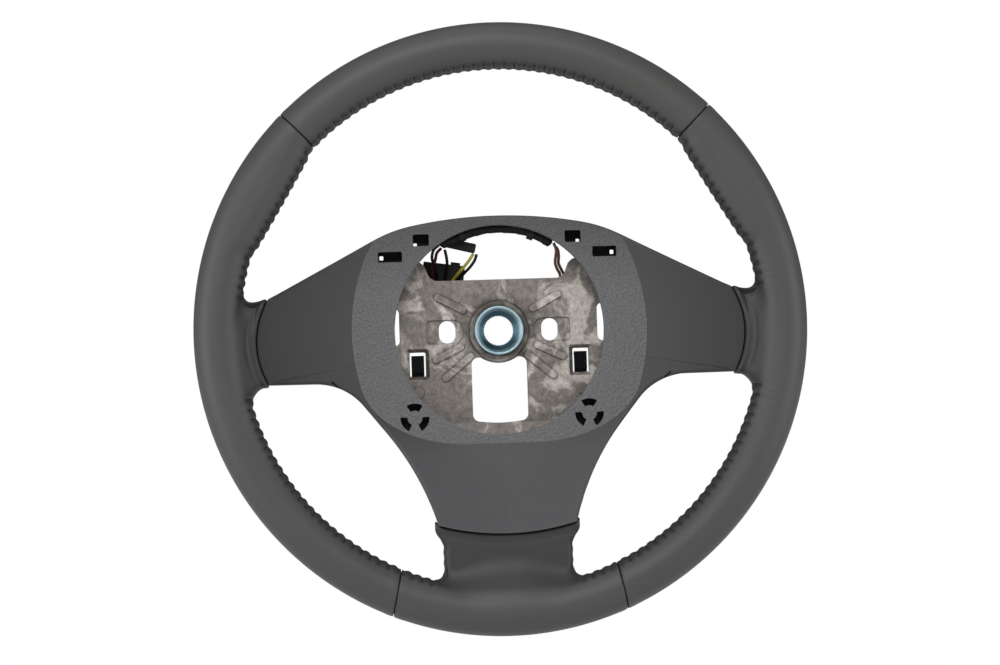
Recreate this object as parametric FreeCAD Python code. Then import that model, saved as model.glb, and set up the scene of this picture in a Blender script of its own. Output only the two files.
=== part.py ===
import FreeCAD, Part
import math
import os

# Bare car steering wheel with leather rim, spoke cover, die-cast armature and wiring, in mm.
# Origin: centre of the hub bore. X to the right, Z to twelve o'clock, -Y towards the driver.

V = FreeCAD.Vector

# Rim
rim_diameter = 375.0
rim_width = 28.6
rim_forward = 52.0
thumb_from = 16.5
upper_seam = 45.5
lower_seam = 67.6
leather = 1.3
glue_gap = 0.25
seam_gap = 0.3

# Leather spoke roots: the lip that the cover's end meets, and the fillets into the rim
rim_middle = (rim_diameter - rim_width) / 2
side_root_length = 23.4
lip_reach = rim_middle - side_root_length
lip_top = 21.3
lip_bottom = -31.2
lip_bow = 6.8
lip_front = 51.5
lip_thickness = 18.5
root_hollow = 18.0
root_end = 12.0
fillet_end = 9.0
upper_fillet = 7.5
lower_fillet = 13.0
low_root_length = 47.6
low_lip_drop = rim_middle - low_root_length
low_lip_bow = 6.6
low_lip_half = 44.4
neck_half = 39.6
neck_fillet = 8.0
root_fall = 2.9
upper_spread = 20.0
lower_spread = 26.0
low_spread = 19.0

# Spoke cover
plateau_front = 22.0
plateau_half = 92.0
crease_radius = 120.0
low_crease = 70.5
cover_end_front = 50.3
arch_height = 71.5
arch_radius = 276.0
arch_half = 51.9
shoulder_x = 66.5
shoulder_share = 0.94
armpit_x = 97.5
armpit_radius = 38.0
waist_x = 53.2
waist_z = -86.0
waist_radius = 170.0
cover_wall = 2.5
cover_gap = 0.6
skirt_depth = 19.0
spoke_skirt = 11.0
opening_radius = 65.3
collar_depth = 2.4
collar_wall = 1.6
slot_x = 66.9
slot_z = 47.2
slot_width = 15.0
slot_height = 6.5
square_x = 47.4
square_z = 57.2
square_width = 10.0
square_height = 7.3
disc_x = 54.4
disc_z = -53.3
disc_radius = 4.6
disc_slot_radius = 9.0
disc_slot_half_angle = 34.0
relief_width = 0.9
relief_length = 7.0
mouth_corner = 0.8
pocket_depth = 8.0
pocket_wall = 1.2
pin_size = 2.4
slot_pin_x = 5.4
square_pin_x = 3.4
square_pin_z = -2.2

# Covers behind the spokes
back_wall = 2.0
back_depth = 8.5
side_back_length = 46.8
back_start = lip_reach - side_back_length
low_back_length = 39.6
low_back_start = low_lip_drop - low_back_length
part_gap = 0.3

# Armature
plate_front = 4.0
skin = 4.0
rib_width = 3.0
rib_depth = 4.5
plate_top = 32.4
horn_x = 42.0
horn_height = 44.5
arm_top = 14.0
arm_bottom = -22.5
arm_bend_x = 76.0
low_bend_z = 58.0
rim_climb = 7.5
rib_end = 3.0
leg_half = 31.0
ring_offset = 0.8
ring_radius = rim_middle + ring_offset
ring_width = 12.0
ring_depth = 10.0
window_half = 17.6
window_top = -16.5
window_bottom = -56.4
window_corner = 4.5
window_bow = 2.0
window_bow_radius = 80.0
boss_radius = 18.2
boss_front = 10.0
boss_back = 10.0
boss_foot = 19.6
pad_x = 33.6
pad_width = 23.6
pad_height = 15.0
pad_step = 0.8
pad_corner = 2.5
pad_round = 6.5
oval_x = 32.3
oval_width = 10.5
oval_height = 14.2
bead_height = 1.0
bead_width = 4.4
latch_window_x = 51.4
latch_window_z = -19.9
latch_window_width = 10.0
latch_window_height = 15.2
latch_window_draft = 2.2
side_window_x = 62.4

# Hub insert
insert_radius = 15.2
insert_front = 12.6
insert_back = 12.0
nut_seat_radius = 12.6
nut_seat_depth = 5.0
spline_radius = 9.6
spline_root = 9.0
spline_teeth = 40
pilot_radius = 10.6
pilot_length = 12.5
fit_gap = 0.05

# Spring latches behind the square windows
leaf = 1.2
leaf_width = 8.0
tongue_length = 16.0
tongue_root_z = -31.5
pad_proud = 1.6
seat_length = 12.0
rivet_radius = 2.0
rivet_head = 3.4

# Screws
screw_radius = 1.8
screw_clearance = 0.25
screw_head = 4.0
screw_head_height = 2.2
boss_wall = 2.2
head_boss_radius = 6.0
blind_wall = 1.2
boss_gap = 2.4
screw_tip = 1.6
slope_share = 0.75
screw_inset = 15.8
spoke_screw_x = lip_reach - screw_inset
spoke_screw_z = -4.0
low_screw_inset = 12.6
low_screw_z = low_screw_inset - low_lip_drop

# Wiring
trunk_radius = 3.0
trunk_arc = 64.2
trunk_depth = 12.0
trunk_half_angle = 33.0
wire_radius = 0.95
clip_angle = 20.0
clip_width = 4.0
clip_wall = 1.0
plug_length = 23.0
plug_height = 6.0
plug_depth = 4.2
plug_x = -24.2
plug_y = -6.4
plug_z = 54.6
plug_tilt = 14.0
block_x = -33.8
block_z = 35.4
block_width = 26.5
block_height = 17.0
block_depth = 8.0
block_standoff = 2.6
block_tilt = 8.5
side_plug_x = 42.4
side_plug_z = 24.0
chin_height = 3.5
lead_gap = 0.6
wire_start_y = -6.2


def arc_corner(before, corner, after, radius):
    """Tangent points and middle point of a rounded corner in a plane."""
    to_before = before.sub(corner).normalize()
    to_after = after.sub(corner).normalize()
    half = to_before.getAngle(to_after) / 2
    run = radius / math.tan(half)
    middle = to_before.add(to_after).normalize()
    start = corner.add(V(to_before).multiply(run))
    end = corner.add(V(to_after).multiply(run))
    top = corner.add(middle.multiply(radius / math.sin(half) - radius))
    return start, top, end


def rounded_wire(corners, y=0.0):
    """Closed outline in the XZ plane from (x, z, radius) corners."""
    points = [V(x, y, z) for x, z, _ in corners]
    runs = []
    for i, (_, _, radius) in enumerate(corners):
        if radius > 0:
            before = points[i - 1]
            after = points[(i + 1) % len(points)]
            runs.append(arc_corner(before, points[i], after, radius))
        else:
            runs.append((points[i], None, points[i]))
    edges = []
    for i, (start, top, end) in enumerate(runs):
        if top is not None:
            edges.append(Part.Arc(start, top, end).toShape())
        following = runs[(i + 1) % len(runs)][0]
        if end.distanceToPoint(following) > 1e-6:
            edges.append(Part.LineSegment(end, following).toShape())
    return Part.Wire(edges)


def prism(corners, y_from, y_to):
    """Solid with a rounded outline, from one depth to another."""
    face = Part.Face(rounded_wire(corners, y_from))
    return face.extrude(V(0, y_to - y_from, 0))


def mirrored_corners(right):
    """Whole outline from its right half, listed from top to bottom."""
    left = [(-x, z, r) for x, z, r in reversed(right) if x > 0]
    return right + left


def box(x0, x1, y0, y1, z0, z1):
    return Part.makeBox(x1 - x0, y1 - y0, z1 - z0, V(x0, y0, z0))


def rod(x, z, radius, y_from, y_to):
    """Cylinder along Y."""
    return Part.makeCylinder(radius, y_to - y_from, V(x, y_from, z), V(0, 1, 0))


def cone(x, z, r_from, r_to, y_from, y_to):
    return Part.makeCone(r_from, r_to, y_to - y_from, V(x, y_from, z), V(0, 1, 0))


def mirror_x(shape):
    return shape.mirror(V(0, 0, 0), V(1, 0, 0))


def around_hub(shape, angle):
    """Turned about the hub axis, counter-clockwise as the driver sees it."""
    turned = shape.copy()
    turned.rotate(V(0, 0, 0), V(0, -1, 0), angle)
    return turned


def bounded(solid):
    """The single solid of a boolean result, with merged faces."""
    clean = solid.removeSplitter()
    return clean.Solids[0] if len(clean.Solids) == 1 else clean


# Rim stretches and spoke roots

def rim_section(inset):
    """Round rim section at three o'clock, moved in by inset."""
    middle = V(rim_middle, -rim_forward, 0)
    return Part.Wire(Part.makeCircle(rim_width / 2 - inset, middle))


def even_stretch(inset, start, end):
    """Stretch of rim between two angles from three o'clock."""
    face = Part.Face(rim_section(inset))
    turned = face.revolve(V(0, 0, 0), V(0, -1, 0), end - start)
    return around_hub(turned, start)


def thumb_swell(inset):
    """Straight bar across the rim's curve, which swells it inwards for the thumb."""
    half = math.radians(upper_seam - thumb_from) / 2
    reach = rim_middle * math.cos(half)
    length = 2 * rim_middle * math.sin(half)
    bar = Part.makeCylinder(rim_width / 2 - inset, length, V(reach, -rim_forward, -length / 2))
    return around_hub(bar, (upper_seam + thumb_from) / 2)


def root_profile(inset, start):
    """Outline in radius and depth from the lip into the rim, with a hollow arc at the front."""
    radius = rim_width / 2 - inset
    front_y = -lip_front + inset
    back_y = -lip_front + lip_thickness - inset
    hollow = root_hollow + inset
    rise = front_y - hollow + rim_forward
    hollow_r = rim_middle - math.sqrt((radius + hollow) ** 2 - rise ** 2)
    hollow_y = front_y - hollow
    to_rim = V(rim_middle - hollow_r, -rim_forward - hollow_y, 0).normalize()
    meet = V(hollow_r, hollow_y, 0).add(V(to_rim).multiply(hollow))
    sag_angle = (math.pi / 2 + math.atan2(to_rim.y, to_rim.x)) / 2
    bottom = V(hollow_r, front_y, 0)
    middle = V(hollow_r + hollow * math.cos(sag_angle), hollow_y + hollow * math.sin(sag_angle), 0)
    edges = []
    if start < hollow_r - 0.5:
        edges.append(Part.LineSegment(V(start, front_y, 0), bottom).toShape())
        edges.append(Part.Arc(bottom, middle, meet).toShape())
        first = V(start, front_y, 0)
    else:
        reach = start - hollow_r
        first = V(start, hollow_y + math.sqrt(hollow ** 2 - reach ** 2), 0)
        edges.append(Part.Arc(first, middle, meet).toShape())
    back_meet = V(rim_middle - radius * 0.2, -rim_forward + radius * 0.8, 0)
    back_bend = V(rim_middle - radius * 1.1, back_y, 0)
    edges.append(Part.LineSegment(meet, back_meet).toShape())
    edges.append(Part.LineSegment(back_meet, back_bend).toShape())
    edges.append(Part.LineSegment(back_bend, V(start, back_y, 0)).toShape())
    edges.append(Part.LineSegment(V(start, back_y, 0), first).toShape())
    return Part.Face(Part.Wire(edges))


def side_plan(inset, open_end):
    """Outline of the right spoke root; open_end carries it on past the lip."""
    inner = rim_diameter / 2 - rim_width + inset
    outer = inner + fillet_end
    start = lip_reach - lip_bow - root_end
    top, high = lip_top - inset, lip_top + upper_spread
    bottom, low = lip_bottom + inset, lip_bottom - lower_spread
    fall = root_fall / 2
    corners = [
        (start, top + fall, 0),
        (math.sqrt(inner ** 2 - top ** 2), top - fall, upper_fillet + inset),
        (math.sqrt(outer ** 2 - high ** 2), high, 0),
        (rim_middle, high, 0),
        (rim_middle, low, 0),
        (math.sqrt(outer ** 2 - low ** 2), low, 0),
        (math.sqrt(inner ** 2 - bottom ** 2), bottom - fall, lower_fillet + inset),
        (start, bottom + fall, 0),
    ]
    body = prism(corners, -rim_forward - rim_width, 0)
    if open_end:
        return body
    return body.cut(inside_lip(0))


def bowed_side(gap):
    """Three points of the right lip's line in plan, moved towards the hub by gap."""
    middle = (lip_top + lip_bottom) / 2
    half = (lip_top - lip_bottom) / 2
    reach = half + 9
    bow = lip_bow * (reach / half) ** 2
    x = lip_reach - gap
    return V(x - bow, 0, middle - reach), V(x, 0, middle), V(x - bow, 0, middle + reach)


def bowed_low(gap):
    """Three points of the lower lip's line in plan, moved towards the hub by gap."""
    reach = low_lip_half + 12
    bow = low_lip_bow * (reach / low_lip_half) ** 2
    z = gap - low_lip_drop
    return V(-reach, 0, z + bow), V(0, 0, z), V(reach, 0, z + bow)


def closed_off(line, far_start, far_end):
    """Deep solid between a lip's line and two far corners."""
    start, middle, end = line
    edges = [
        Part.Arc(start, middle, end).toShape(),
        Part.LineSegment(end, far_end).toShape(),
        Part.LineSegment(far_end, far_start).toShape(),
        Part.LineSegment(far_start, start).toShape(),
    ]
    face = Part.Face(Part.Wire(edges))
    face.translate(V(0, -2 * rim_forward, 0))
    return face.extrude(V(0, 4 * rim_forward, 0))


def inside_lip(gap):
    """Space on the hub side of the right lip."""
    line = bowed_side(gap)
    return closed_off(line, V(plateau_half, 0, line[0].z), V(plateau_half, 0, line[2].z))


def beyond_lip(gap):
    """Space on the rim side of the right lip."""
    line = bowed_side(gap)
    far = rim_diameter / 2
    return closed_off(line, V(far, 0, line[0].z), V(far, 0, line[2].z))


def inside_low_lip(gap):
    line = bowed_low(gap)
    return closed_off(line, V(line[0].x, 0, -low_crease), V(line[2].x, 0, -low_crease))


def beyond_low_lip(gap):
    line = bowed_low(gap)
    far = -rim_diameter / 2
    return closed_off(line, V(line[0].x, 0, far), V(line[2].x, 0, far))


def low_plan(inset, open_end):
    """Outline of the lower spoke root; open_end carries it on past the lip."""
    inner = rim_diameter / 2 - rim_width + inset
    neck = neck_half - inset
    lip = low_lip_half - inset
    lip_z = low_lip_bow - low_lip_drop
    side_x = neck_half + low_spread
    right = [
        (lip, lip_z + root_end, 0),
        (lip, lip_z - 1, 3),
        (neck, -low_lip_drop - 6, 20),
        (neck, -math.sqrt(inner ** 2 - neck ** 2) - 0.9, neck_fillet + inset),
        (side_x, -math.sqrt((inner + fillet_end) ** 2 - side_x ** 2), 0),
        (side_x, -rim_middle, 0),
    ]
    body = prism(mirrored_corners(right), -rim_forward - rim_width, 0)
    if open_end:
        return body
    return body.cut(inside_low_lip(0))


def side_root(inset, open_end):
    """Right spoke root between the lip and the rim."""
    start = lip_reach - lip_bow - root_end - 4
    turned = root_profile(inset, start).revolve(V(0, 0, 0), V(0, -1, 0), 44)
    return around_hub(turned, -24).common(side_plan(inset, open_end))


def low_root(inset, open_end):
    """Lower spoke root between the lip and the rim."""
    start = low_lip_drop - 2.2 * low_lip_bow - root_end
    turned = root_profile(inset, start).revolve(V(0, 0, 0), V(0, -1, 0), 60)
    return around_hub(turned, -120).common(low_plan(inset, open_end))


def right_panel_body(inset, open_end):
    """Right panel: plain stretch, spoke root and thumb swell."""
    body = even_stretch(inset, -lower_seam, upper_seam)
    body = body.fuse(thumb_swell(inset))
    return body.fuse(side_root(inset, open_end))


def low_panel_body(inset, open_end):
    body = even_stretch(inset, lower_seam - 180, -lower_seam)
    return body.fuse(low_root(inset, open_end))


def past_seam(angle, side):
    """Space from just before a seam onwards, counter-clockwise for side 1 and clockwise for -1."""
    depth = rim_forward + rim_width
    low, high = sorted((-side * seam_gap / 2, side * rim_width))
    return around_hub(box(rim_middle - 2 * rim_width, rim_diameter, -depth, 0, low, high), angle)


def leather_right():
    shell = right_panel_body(0, False).cut(right_panel_body(leather, True))
    shell = shell.cut(past_seam(-lower_seam, -1)).cut(past_seam(upper_seam, 1))
    return bounded(shell)


def leather_bottom():
    shell = low_panel_body(0, False).cut(low_panel_body(leather, True))
    shell = shell.cut(past_seam(-lower_seam, 1)).cut(past_seam(lower_seam - 180, -1))
    return bounded(shell)


def leather_top():
    shell = even_stretch(0, upper_seam, 180 - upper_seam)
    shell = shell.cut(even_stretch(leather, upper_seam, 180 - upper_seam))
    shell = shell.cut(past_seam(upper_seam, -1)).cut(past_seam(180 - upper_seam, 1))
    return bounded(shell)


def rim_foam():
    """Foam between the armature and the leather, with the channels that the casting fills."""
    inset = leather + glue_gap
    swell = thumb_swell(inset).cut(past_seam(upper_seam, 1))
    side = swell.fuse(side_root(inset, False).cut(inside_lip(-leather)))
    body = even_stretch(inset, 0, 360)
    body = body.fuse(side).fuse(mirror_x(side))
    body = body.fuse(low_root(inset, False).cut(inside_low_lip(-leather)))
    body = body.cut(armature_ring(glue_gap)).cut(spoke_ends(glue_gap))
    return bounded(body)


# Armature

def armature_ring(grow):
    """Cast ring inside the foam."""
    half_w = ring_width / 2 + grow
    half_d = ring_depth / 2 + grow
    corners = [
        V(ring_radius - half_w, -rim_forward - half_d / 2, 0),
        V(ring_radius - half_w / 2, -rim_forward - half_d, 0),
        V(ring_radius + half_w / 2, -rim_forward - half_d, 0),
        V(ring_radius + half_w, -rim_forward - half_d / 2, 0),
        V(ring_radius + half_w, -rim_forward + half_d / 2, 0),
        V(ring_radius + half_w / 2, -rim_forward + half_d, 0),
        V(ring_radius - half_w / 2, -rim_forward + half_d, 0),
        V(ring_radius - half_w, -rim_forward + half_d / 2, 0),
    ]
    face = Part.Face(Part.makePolygon(corners + corners[:1]))
    return face.revolve(V(0, 0, 0), V(0, 1, 0), 360)


def armature_outline(inset):
    """Outline of plate and spokes, moved in by inset."""
    ring = ring_radius - ring_width / 4
    right = [
        (horn_x + inset, plate_top - inset, 7 - inset / 2),
        (horn_x + 4.5 + inset, horn_height - inset, 6 - inset / 2),
        (arm_bend_x, horn_height + 2 - inset, 20),
        (lip_reach - 10, arm_top - inset, 40),
        (ring, arm_top - 1 - inset, 0),
        (ring, arm_bottom + inset, 0),
        (armpit_x - inset / 2, arm_bottom + inset, armpit_radius - 4),
        (waist_x - 9 - inset, waist_z, 60),
        (leg_half + 2 - inset, -low_lip_drop + 12, 60),
        (leg_half - inset, -ring, 0),
    ]
    return mirrored_corners(right)


def slope_wall(bend, foot, top_y, end, rise_y, depth, span):
    """Cross-section that runs flat, climbs to the rim, and is swept across a spoke."""
    front = [(-1, -top_y), (bend, -top_y), (foot, -rise_y), (end, -rise_y - 5)]
    back = [(x, y + depth) for x, y in reversed(front)]
    points = [V(x, y, 0) for x, y in front + back]
    face = Part.Face(Part.makePolygon(points + points[:1]))
    face.translate(V(0, 0, -span / 2))
    return face.extrude(V(0, 0, span))


def spoke_layer(shift, depth):
    """Layer under the three spokes, shift behind their front and as deep as depth."""
    climb = rim_forward - rim_climb
    ring = ring_radius - ring_width / 4
    side = slope_wall(arm_bend_x, lip_reach, plate_front, ring, climb, depth, 140)
    low = slope_wall(low_bend_z, low_lip_drop, plate_front, ring, climb, depth, 140)
    low.rotate(V(0, 0, 0), V(0, 1, 0), 90)
    layer = side.fuse(mirror_x(side)).fuse(low)
    layer.translate(V(0, shift, 0))
    return layer


def past_ribs():
    """Space near the lips and beyond, where the spokes have no ribs."""
    side_start = lip_reach - lip_bow - rib_end
    low_start = low_lip_drop - low_lip_bow - rib_end
    side = box(side_start, rim_diameter, -90, 60, -80, 80)
    low = box(-80, 80, -90, 60, -rim_diameter, -low_start)
    return side.fuse([mirror_x(side), low])


def grown_outline(grow):
    face = Part.Face(rounded_wire(armature_outline(-grow), -2 * rim_forward))
    return face.extrude(V(0, 3 * rim_forward, 0))


def spoke_ends(grow):
    """Plain block round each spoke's outer end, used for the foam's channels."""
    block = grown_outline(grow).common(spoke_layer(-grow, skin + 2 * grow))
    return block.cut(rod(0, 0, low_lip_drop - 15, -80, 20))


def spoke_block(grow):
    """Plain block round the ribbed spokes, thinner where they pass the lips."""
    ribbed = spoke_layer(-grow, skin + rib_depth + 2 * grow).cut(past_ribs())
    layer = ribbed.fuse(spoke_layer(-grow, skin + 2 * grow))
    return grown_outline(grow).common(layer)


def slanted_bar(start, end, width, y_from, y_to):
    """Bar with round ends between two (x, z) points."""
    run = math.hypot(end[0] - start[0], end[1] - start[1])
    half = width / 2
    corners = [(-half, half, half), (run + half, half, half),
               (run + half, -half, half), (-half, -half, half)]
    bar = prism([(x, z, r * 0.999) for x, z, r in corners], y_from, y_to)
    tilt = math.degrees(math.atan2(end[1] - start[1], end[0] - start[0]))
    bar.rotate(V(0, 0, 0), V(0, -1, 0), tilt)
    bar.translate(V(start[0], 0, start[1]))
    return bar


def rectangle(x, z, width, height, radius):
    """Corners of an upright rectangle about a middle point."""
    right, left = x + width / 2, x - width / 2
    top, bottom = z + height / 2, z - height / 2
    return [(left, top, radius), (right, top, radius), (right, bottom, radius), (left, bottom, radius)]


def drafted_window(x, z, width, height, draft):
    """Cutter whose front mouth is wider than its throat by draft on each side."""
    mouth = rounded_wire(rectangle(x, z, width + 2 * draft, height + 2 * draft, 1.5), -plate_front - 0.01)
    throat = rounded_wire(rectangle(x, z, width, height, 1.0), -plate_front + skin * 0.6)
    funnel = Part.makeLoft([mouth, throat], True, True)
    return funnel.fuse(prism(rectangle(x, z, width, height, 1.0), -plate_front, 20))


def armature():
    """Die-cast plate with hub boss and ribbed spokes that end on the ring in the rim."""
    body = spoke_block(0)
    # pockets behind the skin leave a rib along every edge and spokes of rib from the hub
    pocket_plan = prism(armature_outline(rib_width), -2 * rim_forward, rim_forward)
    pockets = pocket_plan.common(spoke_layer(skin, skin + rib_depth))
    keep = rod(0, 0, boss_foot, -rim_forward, rim_forward)
    for angle, reach in ((32, 60), (148, 60), (335, 44), (205, 44), (295, 66), (245, 66)):
        rib = box(0, reach, -rim_forward, rim_forward, -rib_width / 2, rib_width / 2)
        keep = keep.fuse(around_hub(rib, angle))
    windows = armature_windows()
    keep = keep.fuse(window_rims())
    body = body.cut(pockets.cut(keep))
    # hub boss
    body = body.fuse(cone(0, 0, boss_radius, boss_foot, -boss_front, -plate_front))
    body = body.fuse(rod(0, 0, boss_radius + 1, -plate_front, boss_back))
    # raised beads that run out from the hub
    for x_in, z_in, x_out, z_out in ((22, 13.5, 38, 22), (24, -9.5, 40, -17.2), (18, -15.5, 34, -29)):
        bead = slanted_bar((x_in, z_in), (x_out, z_out), bead_width,
                           -plate_front - bead_height, -plate_front + 1)
        body = body.fuse(bead).fuse(mirror_x(bead))
    body = body.cut(armature_ring(0)).cut(windows)
    body = body.cut(rod(0, 0, insert_radius + fit_gap, -40, 40))
    return bounded(body)


def window_rims():
    """Walls kept round the windows behind the skin."""
    middle_z = (window_top + window_bottom) / 2
    width = 2 * (window_half + rib_width)
    height = window_top - window_bottom + 2 * (rib_width + window_bow)
    return prism(rectangle(0, middle_z, width, height, window_corner + 1), -10, 10)


def bowed_window():
    """Corners of the window below the hub, its lower edge bowed downwards."""
    return [(-window_half, window_top, window_corner), (window_half, window_top, window_corner),
            (window_half, window_bottom, window_corner), (0, window_bottom - window_bow, window_bow_radius),
            (-window_half, window_bottom, window_corner)]


def pad_corners():
    """Corners of the sunk pad round the oval hole, its inner end rounder."""
    inner, outer, half = pad_x - pad_width / 2, pad_x + pad_width / 2, pad_height / 2
    return [(inner, half, pad_round), (outer, half, pad_corner),
            (outer, -half, pad_corner), (inner, -half, pad_round)]


def armature_windows():
    """Everything that goes through the casting."""
    cut = prism(bowed_window(), -40, 40)
    cut = cut.cut(rod(0, 0, boss_radius + 2, -41, 41))
    side = prism([(side_window_x, 14.5, 3), (82, 24, 8), (lip_reach - 26, 6, 5),
                  (lip_reach - 26, -12, 5), (82, -13, 8), (side_window_x, -7, 3)], -60, 20)
    leg = prism(mirrored_corners([(17, -79, 5), (14, -105, 5)]), -60, 20)
    oval = prism(rectangle(oval_x, 0, oval_width, oval_height, oval_width / 2 - 0.01), -20, 20)
    pad = prism(pad_corners(), -plate_front - 5, -plate_front + pad_step)
    latch = drafted_window(latch_window_x, latch_window_z, latch_window_width,
                           latch_window_height, latch_window_draft)
    rivet = rod(latch_window_x, rivet_z(), rivet_radius + screw_clearance, -20, 20)
    hole = rod(disc_x, disc_z, screw_radius + screw_clearance, -20, 20)
    spoke_hole = rod(spoke_screw_x, spoke_screw_z, screw_radius + screw_clearance, -80, 0)
    right = side.fuse([oval, pad, latch, rivet, hole, spoke_hole])
    low_hole = rod(0, low_screw_z, screw_radius + screw_clearance, -80, 0)
    return cut.fuse([right, mirror_x(right), leg, low_hole])


def rivet_z():
    return tongue_root_z - seat_length / 2


# Hub insert

def hub_insert():
    """Zinc-plated steel insert with a nut seat, serrations and a plain pilot at the back."""
    body = rod(0, 0, insert_radius, -insert_front, insert_back)
    lead = 1.4
    body = body.cut(cone(0, 0, nut_seat_radius + lead, nut_seat_radius, -insert_front, -insert_front + lead))
    seat_end = -insert_front + nut_seat_depth
    body = body.cut(rod(0, 0, nut_seat_radius, -insert_front, seat_end))
    body = body.cut(cone(0, 0, nut_seat_radius, spline_radius, seat_end - 0.01, seat_end + 2))
    body = body.cut(rod(0, 0, pilot_radius, insert_back - pilot_length, insert_back + 1))
    points = []
    for i in range(2 * spline_teeth):
        radius = spline_root if i % 2 else spline_radius
        angle = math.pi * i / spline_teeth
        points.append(V(radius * math.cos(angle), -insert_front, radius * math.sin(angle)))
    teeth = Part.Face(Part.makePolygon(points + points[:1]))
    body = body.cut(teeth.extrude(V(0, insert_front + insert_back, 0)))
    return bounded(body)


# Spoke cover

def cover_corners():
    """Silhouette of the cover before its ends are trimmed to the lips."""
    past = lip_reach + 6
    right = [
        (0, arch_line(0), arch_radius),
        (shoulder_x, arch_line(shoulder_x), shoulder_radius()),
        (past, arch_line(shoulder_x) - (past - shoulder_x) * shoulder_slope(), 0),
        (past, lip_bottom + 0.6, 0),
        (armpit_x, lip_bottom + 0.6, armpit_radius),
        (waist_x, waist_z, waist_radius),
        (low_lip_half - 7, -low_lip_drop - 8, 0),
    ]
    left = [(-x, z, r) for x, z, r in reversed(right) if x > 0]
    return right + left


def arch_slope():
    """Fall of the arch's tangent where the arch ends."""
    return arch_half / math.sqrt(arch_radius ** 2 - arch_half ** 2)


def arch_line(x):
    """Height at x of the tangent that leaves the arch where it ends."""
    end = arch_height - arch_radius + math.sqrt(arch_radius ** 2 - arch_half ** 2)
    return end + (arch_half - x) * arch_slope()


def shoulder_slope():
    """Fall of the cover's upper edge from the shoulder to the top of the lip."""
    return (arch_line(shoulder_x) - lip_top - 0.3) / (lip_reach - lip_bow - shoulder_x)


def shoulder_radius():
    """Radius of the shoulder, from the room between the arch's end and the shoulder's corner."""
    turn = math.atan(shoulder_slope()) - math.atan(arch_slope())
    room = (shoulder_x - arch_half) * math.hypot(1, arch_slope())
    return shoulder_share * room / math.tan(turn / 2)


def cover_outline(inset, y_from, y_to):
    """Prism of the cover's silhouette, moved in by inset."""
    face = Part.Face(rounded_wire(cover_corners(), y_from))
    if inset > 0:
        face = face.makeOffset2D(-inset)
    body = face.extrude(V(0, y_to - y_from, 0))
    side = beyond_lip(cover_gap + inset)
    low = beyond_low_lip(cover_gap + inset)
    return body.cut(side).cut(mirror_x(side)).cut(low)


def spoke_face(start, reach):
    """Outline in radius and depth of a straight spoke face, with everything behind it."""
    end = start + reach + 4
    high = cover_end_front + (cover_end_front - plateau_front) * 4 / reach
    corners = [V(start, -plateau_front, 0), V(end, -high, 0), V(end, 60, 0), V(start, 60, 0)]
    return Part.Face(Part.makePolygon(corners + corners[:1]))


def spoke_wedges():
    """Space behind the faces of the three spokes."""
    side = spoke_face(crease_radius, lip_reach - plateau_half)
    side = side.revolve(V(0, 0, 0), V(0, -1, 0), 70)
    side = around_hub(side, -35)
    side.translate(V(plateau_half - crease_radius, 0, 0))
    low = spoke_face(low_crease, low_lip_drop - low_crease)
    low = low.extrude(V(0, 0, 160))
    low.translate(V(0, 0, -80))
    low.rotate(V(0, 0, 0), V(0, 1, 0), 90)
    return side, mirror_x(side), low


def behind_spokes(shift):
    """Space behind the faces of the three spokes, moved back by shift."""
    side, other, low = spoke_wedges()
    space = side.fuse([other, low])
    space.translate(V(0, shift, 0))
    return space


def behind_face(shift, flat_y):
    """Space behind the cover's face: spokes moved back by shift, middle starting at flat_y."""
    slab = box(-130, 130, flat_y, 60, -130, 80)
    return slab.fuse(behind_spokes(shift))


def ring_slots():
    """Three arc slots round a disc, cut through the plateau."""
    front, back = -plateau_front - 5, -plateau_front + 5
    ring = rod(disc_x, disc_z, disc_slot_radius, front, back)
    ring = ring.cut(rod(disc_x, disc_z, disc_radius, front - 1, back + 1))
    slots = None
    for middle in (90, 210, 330):
        a0 = math.radians(middle - disc_slot_half_angle)
        a1 = math.radians(middle + disc_slot_half_angle)
        reach = 2 * disc_slot_radius
        wedge_points = [
            V(disc_x, front, disc_z),
            V(disc_x + reach * math.cos(a0), front, disc_z + reach * math.sin(a0)),
            V(disc_x + reach * math.cos(a1), front, disc_z + reach * math.sin(a1)),
        ]
        wedge = Part.Face(Part.makePolygon(wedge_points + wedge_points[:1]))
        piece = ring.common(wedge.extrude(V(0, back - front, 0)))
        slots = piece if slots is None else slots.fuse(piece)
    return slots


def pocket_floor():
    return -plateau_front + cover_wall + pocket_depth


def snap_pocket(x, z, width, height):
    """Blind box behind a mouth in the plateau, for one of the airbag module's snap hooks."""
    grown = rectangle(x, z, width + 2 * pocket_wall, height + 2 * pocket_wall, mouth_corner + pocket_wall)
    return prism(grown, -plateau_front + 1, pocket_floor() + pocket_wall)


def snap_mouth(x, z, width, height, pin_x, pin_z):
    """Room inside a pocket, with the small hole that the mould's pin leaves in its floor."""
    room = prism(rectangle(x, z, width, height, mouth_corner), -plateau_front - 5, pocket_floor())
    pin = prism(rectangle(x + pin_x, z + pin_z, pin_size, pin_size, mouth_corner),
                pocket_floor() - 1, pocket_floor() + 2 * pocket_wall)
    return room.fuse(pin)


def cover_boss(x, z, y_from, y_to):
    """Screw boss on the back of the cover."""
    outer = screw_radius + boss_wall
    return rod(x, z, outer, y_from, y_to)


def side_face_y(x):
    """Depth of the side spoke's face at reach x, by its chord."""
    part = (x - plateau_half) / (lip_reach - plateau_half)
    return -plateau_front - (cover_end_front - plateau_front) * part


def low_face_y(z):
    part = (-z - low_crease) / (low_lip_drop - low_crease)
    return -plateau_front - (cover_end_front - plateau_front) * part


def arm_front_y(x):
    """Depth of the armature spoke's front at reach x."""
    part = (x - arm_bend_x) / (lip_reach - arm_bend_x)
    return -plate_front - (rim_forward - rim_climb - plate_front) * part


def leg_front_y(z):
    part = (-z - low_bend_z) / (low_lip_drop - low_bend_z)
    return -plate_front - (rim_forward - rim_climb - plate_front) * part


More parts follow.
